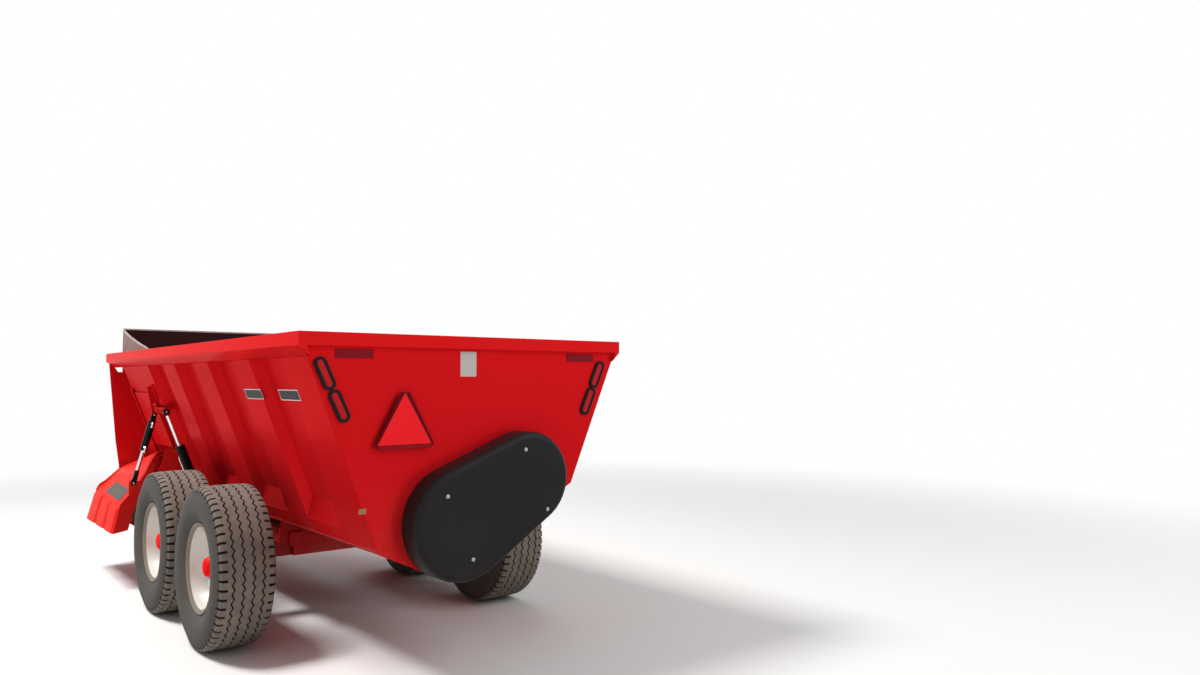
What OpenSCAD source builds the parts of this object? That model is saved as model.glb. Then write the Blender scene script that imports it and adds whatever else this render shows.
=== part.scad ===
// Side-discharge manure spreader with a V-shaped tank on tandem wheels.
// Lengths are in millimetres. While the pieces are laid out, X runs forward from the rear axle,
// Y to the left and Z up from the ground.

/* [Tank] */
// Length of the tank over its front and rear walls
tank_length = 5026; // [4600:10:5400]
// How far the rear wall stands behind the rear axle
rear_overhang = 1515; // [1400:5:1700]
// Thickness of every tank wall
wall_t = 5; // [3:0.5:8]
// Width over the top rim
rim_width = 2294; // [2240:2:2360]
// Height of the rim's top edge above the ground
rim_top_z = 2046; // [2020:2:2080]
// Height of the rim's outer band
rim_band_h = 78; // [60:1:90]
// How far the rim stands out past the front and rear walls
rim_lip = 30; // [20:1:40]
// Width of the rim's flat top
rim_top_w = 130; // [125:1:150]
// Distance of the left wall's foot from the centre
left_foot_y = 640; // [635:1:645]
// Height of the left wall's foot
left_foot_z = 790; // [785:1:795]
// Distance of the right wall's foot from the centre
right_foot_y = 725; // [720:1:730]
// Height of the right wall's foot
right_foot_z = 1100; // [1095:1:1110]
// Depth of the bays pressed into the side walls
bay_depth = 65; // [40:1:70]
// Width of a bay's sloping flank
bay_flank = 45; // [30:1:60]
// Height of the plain band under the bays, along the wall
bay_foot = 90; // [70:1:110]
// Height of the slanted closure at a bay's foot
bay_slant = 130; // [100:1:160]

/* [Augers] */
// Lower auger's distance left of the centre
lower_auger_y = 165; // [160:1:170]
// Lower auger's height
lower_auger_z = 920; // [918:1:925]
// Lower auger's radius over the flighting
lower_auger_r = 290; // [270:1:300]
// Upper auger's distance right of the centre
upper_auger_y = 300; // [295:1:305]
// Upper auger's height
upper_auger_z = 1157; // [1152:1:1162]
// Upper auger's radius over the flighting
upper_auger_r = 220; // [200:1:228]
// Gap between an auger and its trough
auger_gap = 30; // [20:1:40]
// Length of one turn of flighting
auger_pitch = 520; // [400:10:600]
// Radius of an auger's centre tube
auger_tube_r = 70; // [60:1:80]
// Radius of the auger shafts
auger_shaft_r = 32; // [28:1:36]

/* [Wheels] */
// Outside diameter of a tyre
tyre_d = 1072; // [1040:2:1100]
// Width of a tyre
tyre_w = 389; // [370:1:400]
// Diameter of the rim's flange
rim_d = 597; // [580:1:610]
// Distance between the left and right tyres' middles
track_w = 2102; // [2080:2:2120]
// Distance between the front and rear axles
axle_gap = 1244; // [1200:2:1260]
// Radius of a wheel's spindle
spindle_r = 38; // [34:1:42]

/* [Running gear] */
// Width of the axle beam, front to back
axle_beam_w = 160; // [140:2:180]
// Height of the axle beam
axle_beam_h = 140; // [130:1:145]
// Height of the frame rails' underside
rail_z = 580; // [578:1:584]
// Height of a frame rail
rail_h = 100; // [90:1:105]
// Width of a frame rail
rail_w = 100; // [80:1:110]
// Distance of the rails' middles from the centre
rail_y = 500; // [490:1:510]

/* [Drawbar] */
// Distance from the tank's front wall to the hitch pin
hitch_reach = 1800; // [1600:10:1900]
// Height of the hitch clevis
hitch_z = 500; // [480:1:520]
// Radius of the hitch pin's hole
hitch_hole_r = 16.5; // [14:0.5:18]
// Distance from the front wall to the parking jack
jack_reach = 1150; // [1000:10:1250]
// Radius of the jack's outer tube
jack_r = 38; // [32:1:44]

/* [Discharge] */
// Distance from the hood's rear end forward to the gate's opening
gate_ahead = 160; // [150:1:170]
// Width of the gate's opening
gate_w = 640; // [600:1:650]
// Height of the opening's lower edge, along the wall
gate_low = 172; // [168:1:180]
// Height of the gate's opening, along the wall
gate_h = 483; // [460:1:500]
// How far the gate stands open in the stored position
gate_open = 270; // [240:1:280]
// Thickness of the gate's plate
gate_t = 8; // [6:0.5:9]
// Distance from the hood to the tank's front wall
hood_gap = 111; // [100:1:120]
// Length of the hood
hood_length = 1200; // [1150:1:1220]
// Thickness of the hood's sheet
hood_t = 6; // [4:0.5:8]
// Radius of the expeller over its hammers
expeller_r = 225; // [200:1:228]

/* [Rear] */
// Radius of the drive cover at its lower end
cover_low_r = 345; // [330:1:350]
// Radius of the drive cover at its upper end
cover_high_r = 295; // [280:1:300]
// Depth of the drive cover
cover_depth = 170; // [150:1:190]
// Length of a tail lamp with its grommet
lamp_length = 199; // [180:1:200]
// Width of a tail lamp with its grommet
lamp_width = 72; // [66:1:78]
// Width over the slow-vehicle emblem
emblem_w = 378; // [370:1:406]

/* [Hidden] */
$fn = 48;

paint = "firebrick";
dark_metal = "dimgray";
bright_metal = "silver";
black = "#202022";
skip = 1;                 // how far a cutting shape runs past what it cuts
run_gap = 0.05;           // radial clearance of a shaft in its bearing
seat = 0.3;               // clearance where two rigid pieces seat

rear_x = -rear_overhang;
front_x = tank_length - rear_overhang;
inner_rear_x = rear_x + wall_t;
inner_front_x = front_x - wall_t;
axle_z = tyre_d / 2;
wheel_y = track_w / 2;
rim_y = rim_width / 2;
rim_top_t = 56;           // thickness of the rim's top over the wall heads
head_z = rim_top_z - rim_top_t;
left_head_y = rim_y - 39; // the wall heads stand inside the rim's edge
right_head_y = rim_y - 26;
left_lean = atan((left_head_y - left_foot_y) / (head_z - left_foot_z));
right_lean = atan((right_head_y - right_foot_y) / (head_z - right_foot_z));
hood_x = front_x - hood_gap - hood_length;
gate_x = hood_x + gate_ahead;
left_wall_s = (head_z - left_foot_z) / cos(left_lean);
right_wall_s = (head_z - right_foot_z) / cos(right_lean);
lower_trough_r = lower_auger_r + auger_gap;
upper_trough_r = upper_auger_r + auger_gap;

// Helpers for bent sheet

// Unit vector along v
function unit(v) = v / norm(v);
// v turned a quarter turn to the left
function turned(v) = [-v[1], v[0]];
// Normal of a path's stretch i
function side(p, i) = turned(unit(p[i + 1] - p[i]));
// Point i of a path, moved t to the left, mitred at bends
function moved(p, i, t) =
    i == 0 ? p[0] + t * side(p, 0)
    : i == len(p) - 1 ? p[i] + t * side(p, i - 1)
    : let (a = side(p, i - 1), b = side(p, i)) p[i] + t * (a + b) / (1 + a * b);
// A whole path moved t to the left
function moved_path(p, t) = [for (i = [0 : len(p) - 1]) moved(p, i, t)];
// Outline of a sheet of thickness t that lies left of a path
function sheet(p, t) = concat(p, [for (i = [len(p) - 1 : -1 : 0]) moved(p, i, t)]);
// Points on an arc about c from angle a0 to a1
function arc(c, r, a0, a1, n) =
    [for (i = [0 : n]) let (a = a0 + (a1 - a0) * i / n) c + r * [cos(a), sin(a)]];
// Angle of the point where a line from p touches a circle on its low side
function touch_angle(c, r, p, dir) =
    atan2(p[1] - c[1], p[0] - c[0]) + dir * acos(r / norm(p - c));

// Extrudes a Y-Z outline forward from x0 to x1
module along_x(x0, x1) {
    translate([x0, 0, 0])
        rotate([90, 0, 90])
            linear_extrude(x1 - x0)
                children();
}
// Extrudes an X-Z outline to the left from y0 to y1
module along_y(y0, y1) {
    translate([0, y1, 0])
        rotate([90, 0, 0])
            linear_extrude(y1 - y0)
                children();
}
// Round bar along X
module bar_x(x0, x1, y, z, r) {
    translate([x0, y, z])
        rotate([0, 90, 0])
            cylinder(h = x1 - x0, r = r);
}
// Round bar along Y
module bar_y(x, y0, y1, z, r) {
    translate([x, y0, z])
        rotate([-90, 0, 0])
            cylinder(h = y1 - y0, r = r);
}
// Box from its lowest and highest corners
module box(low, high) {
    translate(low)
        cube(high - low);
}

// Tank

left_foot = [left_foot_y, left_foot_z];
right_foot = [-right_foot_y, right_foot_z];
lower_axis = [lower_auger_y, lower_auger_z];
upper_axis = [-upper_auger_y, upper_auger_z];
lower_touch = touch_angle(lower_axis, lower_trough_r, left_foot, -1);
upper_touch = touch_angle(upper_axis, upper_trough_r, right_foot, 1);
lower_trough_end = -165;  // angle where the lower trough's right side ends
upper_trough_start = -60; // angle where the upper trough starts
arc_steps = 10;
floor_path = concat(
    [left_foot],
    arc(lower_axis, lower_trough_r, lower_touch, lower_trough_end, arc_steps),
    arc(upper_axis, upper_trough_r, upper_trough_start, upper_touch, arc_steps),
    [right_foot]
);
outline_path = concat(
    [[left_head_y, head_z]],
    moved_path(floor_path, wall_t),
    [[-right_head_y, head_z]]
);
end_lip = 12;             // how far the end walls stand out past the tank's skin
bearing_hole_r = 60;      // hole in the end walls for an auger's shaft

// Left wall's frame: X forward, Y out of the wall, Z up along it
module on_left_wall() {
    translate([0, left_foot_y, left_foot_z])
        rotate([-left_lean, 0, 0])
            children();
}
module on_right_wall() {
    mirror([0, 1, 0])
        translate([0, right_foot_y, right_foot_z])
            rotate([-right_lean, 0, 0])
                children();
}
// The space of one pressed bay, grown by g
module bay(x0, x1, low, high, g) {
    deep = -bay_depth - g;
    plan = [[x0 - g, skip], [x0 - g, 0], [x0 + bay_flank - g, deep],
            [x1 - bay_flank + g, deep], [x1 + g, 0], [x1 + g, skip]];
    profile = [[skip, low - g], [0, low - g], [deep, low + bay_slant - g], [deep, high], [skip, high]];
    intersection() {
        linear_extrude(high)
            polygon(plan);
        along_x(x0 - 2 * g - skip, x1 + 2 * g + skip)
            polygon(profile);
    }
}
// A flat wall with bays pressed into it from outside
module ribbed_wall(tall, bays) {
    difference() {
        union() {
            box([inner_rear_x, -wall_t, 0], [inner_front_x, 0, tall]);
            for (b = bays)
                intersection() {
                    bay(b[0], b[1], b[2], tall, wall_t);
                    box([inner_rear_x, -tall, 0], [inner_front_x, 0, tall]);
                }
        }
        for (b = bays)
            bay(b[0], b[1], b[2], tall + skip, 0);
    }
}
// Bays of the left wall: rear end, front end, foot along the wall
bay_x0 = rear_x + 465;    // rear end of the first bay
bay_w = 550;
last_bay_w = 500;         // the bay behind the discharge is narrower
bay_pitch = (gate_x - 210 - last_bay_w - bay_x0) / 3;
left_bays = concat(
    [for (i = [0 : 3])
        [bay_x0 + i * bay_pitch, bay_x0 + i * bay_pitch + (i < 3 ? bay_w : last_bay_w), bay_foot]],
    [[gate_x + gate_w + 120, inner_front_x + bay_flank, bay_foot + 300]]
);
right_bays = [for (i = [0 : 4]) [bay_x0 + i * bay_pitch, bay_x0 + i * bay_pitch + bay_w, bay_foot]];
over_head = 200;          // extra wall length that is cut level at the head

module cut_level() {
    difference() {
        children();
        box([rear_x, -2 * rim_y, head_z], [front_x, 2 * rim_y, 2 * rim_top_z]);
    }
}
module tank_left_wall() {
    color(paint)
        cut_level()
            on_left_wall()
                difference() {
                    ribbed_wall(left_wall_s + over_head, left_bays);
                    box([gate_x, -wall_t - skip, gate_low], [gate_x + gate_w, skip, gate_low + gate_h]);
                }
}
module tank_right_wall() {
    color(paint)
        cut_level()
            on_right_wall()
                ribbed_wall(right_wall_s + over_head, right_bays);
}
module trough_floor() {
    color(paint)
        along_x(inner_rear_x, inner_front_x)
            polygon(sheet(floor_path, wall_t));
}
rim_foot_z = 1910;        // height where the side rim's sloped underside meets the wall
// Section of a side rim over a wall, standing g clear of the wall
function side_rim(foot_y, foot_z, lean, head_y, g) = [
    [rim_y, rim_top_z], [rim_y, rim_top_z - rim_band_h],
    [foot_y + (rim_foot_z - foot_z) * tan(lean) + g, rim_foot_z],
    [head_y + g, head_z], [rim_y - rim_top_w, head_z], [rim_y - rim_top_w, rim_top_z]];
// The space under the rim's top that a side rim takes, grown to clear it
function rim_space(foot_y, foot_z, lean, head_y) = [
    [rim_y + skip, rim_top_z], [rim_y + skip, rim_top_z - rim_band_h - seat],
    [rim_y, rim_top_z - rim_band_h - seat],
    [foot_y + (rim_foot_z - foot_z) * tan(lean), rim_foot_z - seat],
    [foot_y + (rim_foot_z - foot_z) * tan(lean), rim_foot_z], [head_y, head_z], [head_y, rim_top_z]];
module side_rim_spaces() {
    along_x(rear_x - skip, front_x + skip) {
        polygon(rim_space(left_foot_y, left_foot_z, left_lean, left_head_y));
        mirror([1, 0])
            polygon(rim_space(right_foot_y, right_foot_z, right_lean, right_head_y));
    }
}
module tank_rear_wall() {
    color(paint)
        difference() {
            along_x(rear_x, inner_rear_x)
                polygon(concat([[left_head_y, head_z]], moved_path(outline_path, end_lip),
                               [[-right_head_y, head_z]]));
            side_rim_spaces();
            bar_x(rear_x - skip, inner_rear_x + skip, lower_auger_y, lower_auger_z, bearing_hole_r);
            bar_x(rear_x - skip, inner_rear_x + skip, -upper_auger_y, upper_auger_z, bearing_hole_r);
        }
}
// The front wall stands wide of the tank as a wing, with a hole near its upper left corner
wing_hole = [[rim_y - 52, rim_top_z - 101], [rim_y - 137, rim_top_z - 101],
             [rim_y - 142, rim_top_z - 178], [rim_y - 102, rim_top_z - 178]];
expeller_y = left_foot_y + 245; // expeller's shaft, left of the centre
expeller_z = left_foot_z - 130; // height of the expeller's shaft
expeller_shaft_r = 25;
front_left_edge = [[rim_y - 20, rim_top_z - rim_band_h], [left_foot_y + 410, 1200], [left_foot_y + 372, 940],
                   [left_foot_y + 360, 700], [left_foot_y + 290, 500],
                   [expeller_y, expeller_z - expeller_r - 40]];
front_right_edge = [[-right_foot_y - 60, right_foot_z - 20], [-right_head_y - 12, rim_top_z - rim_band_h]];
module tank_front_wall() {
    low_path = [for (i = [1 : len(outline_path) - 2]) moved(outline_path, i, end_lip)];
    color(paint)
        difference() {
            along_x(inner_front_x, front_x)
                polygon(concat([[left_head_y, head_z], [left_head_y, rim_top_z - rim_band_h]],
                               front_left_edge, [for (i = [3 : len(low_path) - 1]) low_path[i]],
                               front_right_edge, [[-right_head_y, rim_top_z - rim_band_h],
                                                  [-right_head_y, head_z]]));
            side_rim_spaces();
            along_x(inner_front_x - skip, front_x + skip)
                polygon(wing_hole);
            // notches over the drawbar's two beams
            for (s = [-1, 1])
                box([inner_front_x - skip, s * rail_y - bar_w / 2 - seat, 0],
                    [front_x + skip, s * rail_y + bar_w / 2 + seat, bar_z + bar_h + seat]);
            bar_x(inner_front_x - skip, front_x + skip, lower_auger_y, lower_auger_z, bearing_hole_r);
            bar_x(inner_front_x - skip, front_x + skip, -upper_auger_y, upper_auger_z, bearing_hole_r);
            bar_x(inner_front_x - skip, front_x + skip, expeller_y, expeller_z, bearing_hole_r);
        }
}
// x is the wall's outer face; the rim reaches rim_lip past it
module end_rim(x) {
    end_y = rim_y - rim_top_w / 2;
    along_y(-end_y, end_y)
        polygon([[x - rim_lip, rim_top_z], [x - rim_lip, rim_top_z - rim_band_h], [x, rim_top_z - rim_band_h],
                 [x, head_z], [x + rim_top_w - rim_lip, head_z], [x + rim_top_w - rim_lip, rim_top_z]]);
    box([x - rim_lip, -rim_y, rim_top_z - rim_band_h], [x, rim_y, rim_top_z]);
}
module top_rim() {
    color(paint)
        union() {
            along_x(rear_x - rim_lip, front_x + rim_lip)
                polygon(side_rim(left_foot_y, left_foot_z, left_lean, left_head_y, seat));
            mirror([0, 1, 0])
                along_x(rear_x - rim_lip, front_x + rim_lip)
                    polygon(side_rim(right_foot_y, right_foot_z, right_lean, right_head_y, seat));
            end_rim(rear_x);
            mirror([1, 0, 0])
                end_rim(-front_x);
        }
}
guard_h = 255;            // height of the splash guard above the rim
guard_y = 1012;           // half width of the splash guard
guard_t = 8;              // thickness of its belting
// Top edge of a side return: distance back from the front sheet, height above the rim
guard_edge = [[12, 252], [30, 238], [60, 225], [150, 203], [347, 156], [631, 98], [855, 58], [1028, 28]];
module splash_guard() {
    x1 = front_x - 10;
    color(dark_metal)
        union() {
            box([x1 - guard_t, -guard_y, rim_top_z], [x1, guard_y, rim_top_z + guard_h]);
            for (s = [-1, 1])
                along_y(s > 0 ? guard_y - guard_t : -guard_y, s > 0 ? guard_y : -guard_y + guard_t)
                    polygon(concat([[x1, rim_top_z], [x1, rim_top_z + guard_h]],
                                   [for (p = guard_edge) [x1 - p[0], rim_top_z + p[1]]],
                                   [[x1 - guard_edge[len(guard_edge) - 1][0], rim_top_z]]));
        }
}

// Augers

flight_t = 10;            // thickness of the flighting
flight_steps = 16;        // facets in one turn
flight_end_gap = 60;      // from the flighting's end to the end walls
bearing_x = 36;           // depth of a bearing housing
// Helical flight along X from x0 to x1 between radii r0 and r1; hand is 1 or -1
module flight(x0, x1, r0, r1, hand) {
    n = round((x1 - x0) / auger_pitch * flight_steps);
    pts = [for (i = [0 : n])
        let (a = hand * 360 * i / flight_steps, x = x0 + (x1 - x0) * i / n)
        for (c = [[r0, 0], [r1, 0], [r1, flight_t], [r0, flight_t]])
        [x + c[1], c[0] * cos(a), c[0] * sin(a)]];
    sides = [for (i = [0 : n - 1]) for (k = [0 : 3])
        let (a = 4 * i + k, b = 4 * i + (k + 1) % 4, q = [a, b, b + 4, a + 4])
        for (f = [[q[0], q[1], q[2]], [q[0], q[2], q[3]]])
        hand > 0 ? f : [f[2], f[1], f[0]]];
    caps = [[3, 2, 1], [3, 1, 0], [4 * n, 4 * n + 1, 4 * n + 2], [4 * n, 4 * n + 2, 4 * n + 3]];
    polyhedron(points = pts, faces = concat(sides, hand > 0 ? caps : [for (f = caps) [f[2], f[1], f[0]]]));
}
module auger(y, z, r, hand) {
    tube_x0 = inner_rear_x + bearing_x + 6;
    tube_x1 = inner_front_x - bearing_x - 6;
    color(bright_metal)
        union() {
            bar_x(tube_x0, tube_x1, y, z, auger_tube_r);
            bar_x(rear_x - 20, front_x + 20, y, z, auger_shaft_r);
            translate([0, y, z])
                flight(inner_rear_x + flight_end_gap, inner_front_x - flight_end_gap - flight_t,
                       auger_tube_r - 4, r, hand);
        }
}
module lower_auger() auger(lower_auger_y, lower_auger_z, lower_auger_r, 1);
module upper_auger() auger(-upper_auger_y, upper_auger_z, upper_auger_r, -1);
module bearing(x0, x1, y, z, shaft_r) {
    difference() {
        bar_x(x0, x1, y, z, bearing_hole_r + 15);
        bar_x(x0 - skip, x1 + skip, y, z, shaft_r + run_gap);
    }
}
module auger_bearings() {
    color(dark_metal)
        for (a = [[lower_auger_y, lower_auger_z], [-upper_auger_y, upper_auger_z]]) {
            bearing(inner_rear_x, inner_rear_x + bearing_x, a[0], a[1], auger_shaft_r);
            bearing(inner_front_x - bearing_x, inner_front_x, a[0], a[1], auger_shaft_r);
        }
}

// Frame and running gear

rail_x0 = 150;            // rear end of the rails, above the walking beams
rail_x1 = front_x - 60;
cross_t = 80;
module chassis_frame() {
    color(paint)
        union() {
            for (s = [-1, 1])
                box([rail_x0, s * rail_y - rail_w / 2, rail_z],
                    [rail_x1, s * rail_y + rail_w / 2, rail_z + rail_h]);
            for (x = [rail_x1 - cross_t, axle_gap / 2 - 420, axle_gap / 2 + 420])
                box([x, -rail_y, rail_z - cross_t], [x + cross_t, rail_y, rail_z + 8]);
        }
}
saddle_t = 12;
saddles = 7;
saddle_xs = [for (i = [0 : saddles - 1]) rail_x0 + 20 + i * (rail_x1 - rail_x0 - 100) / (saddles - 1)];
module floor_saddles() {
    skin = moved_path(floor_path, wall_t);
    n = len(skin);
    color(paint)
        for (x = saddle_xs)
            difference() {
                along_x(x, x + saddle_t)
                    polygon(concat([0.9 * skin[0] + 0.1 * skin[1]], [for (i = [1 : n - 1]) skin[i]],
                                   [[-right_foot_y + 60, rail_z + 8], [left_foot_y - 20, rail_z + 8]]));
                for (s = [-1, 1])
                    box([x - skip, s * rail_y - rail_w / 2, rail_z - skip],
                        [x + saddle_t + skip, s * rail_y + rail_w / 2, rail_z + rail_h]);
            }
}
beam_y = 790;             // middle of a walking beam
beam_w = 100;
beam_pivot_r = 45;
beam_mid_x = axle_gap / 2;
module axle_beam() {
    beam_end = beam_y - beam_w / 2 - 4;
    top = rail_z - seat;
    color(paint)
        union() {
            box([beam_mid_x - axle_beam_w / 2, -beam_end, top - axle_beam_h],
                [beam_mid_x + axle_beam_w / 2, beam_end, top]);
            for (s = [-1, 1])
                bar_y(beam_mid_x, s > 0 ? beam_end : -beam_y - beam_w / 2 - 20,
                      s > 0 ? beam_y + beam_w / 2 + 20 : -beam_end, top - axle_beam_h / 2, beam_pivot_r);
        }
}
spindle_out = 165;        // how far a spindle stands out of its beam
module walking_beams() {
    half_h = 80;
    end_h = 60;
    over = 90;
    pivot_z = rail_z - seat - axle_beam_h / 2;
    color(paint)
        for (s = [-1, 1])
            difference() {
                union() {
                    along_y(s * beam_y - beam_w / 2, s * beam_y + beam_w / 2)
                        polygon([[-over, axle_z - end_h], [-over, axle_z + end_h], [0, axle_z + end_h],
                                 [beam_mid_x, pivot_z + half_h + 20], [axle_gap, axle_z + end_h],
                                 [axle_gap + over, axle_z + end_h], [axle_gap + over, axle_z - end_h],
                                 [beam_mid_x + 200, pivot_z - half_h - 20],
                                 [beam_mid_x - 200, pivot_z - half_h - 20]]);
                    for (x = [0, axle_gap])
                        bar_y(x, s > 0 ? beam_y : -beam_y - spindle_out - beam_w / 2,
                              s > 0 ? beam_y + beam_w / 2 + spindle_out : -beam_y, axle_z, spindle_r);
                }
                bar_y(beam_mid_x, s * beam_y - beam_w, s * beam_y + beam_w, pivot_z, beam_pivot_r + seat);
            }
}

// Wheels, laid out about their own axle with +Y outwards

rim_out = 160;            // from the tyre's middle out to the rim's edge
rim_in = 140;             // from the tyre's middle in to the rim's inner edge
rim_t = 10;
disc_y = 60;              // outer face of the wheel disc
disc_t = 14;
hub_r = 70;
cap_out = 68;             // how far the hub's cap stands out of the disc
// Edge of the cap: distance in from the hub's radius, distance out of the disc
cap_edge = [[4, 36], [8, 48], [17, 58], [32, 65], [50, cap_out]];
groove_w = 12;
groove_d = 12;
// Outline of half a tyre's section: radius, distance from the middle
tyre_half = [[rim_d / 2 + 1, 150], [340, 178], [385, 191], [425, tyre_w / 2], [465, 190], [495, 178],
             [514, 166], [526, 150], [tyre_d / 2 - 2, 120], [tyre_d / 2, 0]];
module tyre() {
    n = len(tyre_half);
    outer = concat([for (i = [0 : n - 1]) tyre_half[i]],
                   [for (i = [n - 2 : -1 : 0]) [tyre_half[i][0], -tyre_half[i][1]]]);
    rotate([-90, 0, 0])
        rotate_extrude()
            difference() {
                polygon(concat(outer, [[rim_d / 2 - 20, -120], [rim_d / 2 - 20, 120]]));
                for (k = [-1.5 : 1 : 1.5])
                    translate([tyre_d / 2 - groove_d, k * 62 - groove_w / 2])
                        square([2 * groove_d, groove_w]);
            }
}
module wheel_rim() {
    seat_r = rim_d / 2 - 20 - seat;
    flange_r = rim_d / 2;
    rotate([-90, 0, 0])
        rotate_extrude()
            polygon([[flange_r, rim_out], [flange_r, 151], [seat_r, 149], [seat_r, -124],
                     [flange_r - 12, -rim_in], [flange_r - 22, -rim_in], [seat_r - rim_t, -118],
                     [seat_r - rim_t, disc_y - disc_t - 40], [hub_r + 60, disc_y - disc_t],
                     [hub_r + seat, disc_y - disc_t], [hub_r + seat, disc_y], [hub_r + 62, disc_y],
                     [seat_r - rim_t, disc_y - 26], [seat_r - rim_t, 146], [flange_r - 10, rim_out]]);
}
module hub() {
    stem = spindle_r + run_gap;
    bore_in = beam_y + beam_w / 2 + 6 - wheel_y;
    bore_out = beam_y + beam_w / 2 + spindle_out + 2 - wheel_y;
    rotate([-90, 0, 0])
        rotate_extrude()
            polygon(concat([[stem, bore_in], [hub_r, bore_in], [hub_r, disc_y - disc_t - 12],
                     [hub_r + 55, disc_y - disc_t - 12], [hub_r + 55, disc_y - disc_t - seat],
                     [hub_r, disc_y - disc_t - seat], [hub_r, disc_y + 8], [hub_r - 4, disc_y + 12]],
                    [for (p = cap_edge) [hub_r - p[0], disc_y + p[1]]],
                    [[0, disc_y + cap_out], [0, bore_out], [stem, bore_out]]));
}
// Puts a wheel piece at its axle; s is 1 on the left
module at_wheel(x, s) {
    translate([x, s * wheel_y, axle_z])
        mirror([0, s < 0 ? 1 : 0, 0])
            children();
}
module tyre_front_left() color(black) at_wheel(axle_gap, 1) tyre();
module rim_front_left() color(bright_metal) at_wheel(axle_gap, 1) wheel_rim();
module hub_front_left() color(paint) at_wheel(axle_gap, 1) hub();
module tyre_front_right() color(black) at_wheel(axle_gap, -1) tyre();
module rim_front_right() color(bright_metal) at_wheel(axle_gap, -1) wheel_rim();
module hub_front_right() color(paint) at_wheel(axle_gap, -1) hub();
module tyre_rear_left() color(black) at_wheel(0, 1) tyre();
module rim_rear_left() color(bright_metal) at_wheel(0, 1) wheel_rim();
module hub_rear_left() color(paint) at_wheel(0, 1) hub();
module tyre_rear_right() color(black) at_wheel(0, -1) tyre();
module rim_rear_right() color(bright_metal) at_wheel(0, -1) wheel_rim();
module hub_rear_right() color(paint) at_wheel(0, -1) hub();

// Drawbar, hitch and jack

hitch_x = front_x + hitch_reach;
bar_h = 110;
bar_w = 90;
tip_half = 50;
bar_z = rail_z - 20;
bar_x0 = rail_x1;
bar_x1 = hitch_x - 160;
bar_bend = 275;           // straight stretch before the two beams draw together
// Middle of a drawbar beam at x
function bar_mid(x) =
    rail_y + (tip_half - 5 - rail_y) * (x - bar_x0 - bar_bend) / (bar_x1 - bar_x0 - bar_bend);
module drawbar() {
    color(paint)
        union() {
            translate([0, 0, bar_z])
                linear_extrude(bar_h)
                    for (s = [-1, 1])
                        polygon([[bar_x0, s * (rail_y + bar_w / 2)], [bar_x0, s * (rail_y - bar_w / 2)],
                                 [bar_x0 + bar_bend, s * (rail_y - bar_w / 2)],
                                 [bar_x1, s * (bar_mid(bar_x1) - bar_w / 2)],
                                 [bar_x1, s * (bar_mid(bar_x1) + bar_w / 2)],
                                 [bar_x0 + bar_bend, s * (rail_y + bar_w / 2)]]);
            box([bar_x0 + 560, -bar_mid(bar_x0 + 600), bar_z + 10],
                [bar_x0 + 640, bar_mid(bar_x0 + 600), bar_z + bar_h - 10]);
            box([bar_x1 - 60, -tip_half - 35, hitch_z - 60], [bar_x1, tip_half + 35, bar_z + bar_h]);
        }
}
clevis_gap = 52;
clevis_t = 25;
module hitch_clevis() {
    x0 = hitch_x - 160;
    color(dark_metal)
        difference() {
            union() {
                box([x0, -45, hitch_z - clevis_gap / 2 - clevis_t],
                    [x0 + 40, 45, hitch_z + clevis_gap / 2 + clevis_t]);
                for (z = [hitch_z - clevis_gap / 2 - clevis_t, hitch_z + clevis_gap / 2]) {
                    box([x0 + 20, -40, z], [hitch_x, 40, z + clevis_t]);
                    translate([hitch_x, 0, z])
                        cylinder(h = clevis_t, r = 40);
                }
            }
            translate([hitch_x, 0, hitch_z - clevis_gap])
                cylinder(h = 2 * clevis_gap, r = hitch_hole_r);
        }
}
jack_x = front_x + jack_reach;
jack_y = 330;
jack_low = 330;
jack_top = 820;
leg_r = jack_r - 6;
foot_t = 12;
module jack_tube() {
    out = bar_w / 2 + seat;
    color(paint)
        union() {
            difference() {
                translate([jack_x, jack_y, jack_low])
                    cylinder(h = jack_top - jack_low, r = jack_r);
                translate([jack_x, jack_y, jack_low - skip])
                    cylinder(h = jack_top - jack_low - 20, r = leg_r + run_gap);
            }
            // bracket between the drawbar's left beam and the jack's tube
            difference() {
                translate([0, 0, bar_z + 15])
                    linear_extrude(bar_h - 30)
                        polygon([[jack_x - 45, bar_mid(jack_x - 45) + out],
                                 [jack_x + 45, bar_mid(jack_x + 45) + out],
                                 [jack_x + 45, jack_y], [jack_x - 45, jack_y]]);
                translate([jack_x, jack_y, bar_z])
                    cylinder(h = bar_h, r = jack_r - 2);
            }
            bar_x(jack_x - 60, jack_x + 60, jack_y, jack_top + 25, 12);
            translate([jack_x, jack_y, jack_top - 1])
                cylinder(h = 40, r = 22);
        }
}
module jack_leg() {
    color(bright_metal)
        union() {
            translate([jack_x, jack_y, foot_t - 2])
                cylinder(h = jack_top - 200 - foot_t, r = leg_r);
            box([jack_x - 110, jack_y - 90, 0], [jack_x + 110, jack_y + 90, foot_t]);
        }
}

// Front drive

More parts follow.
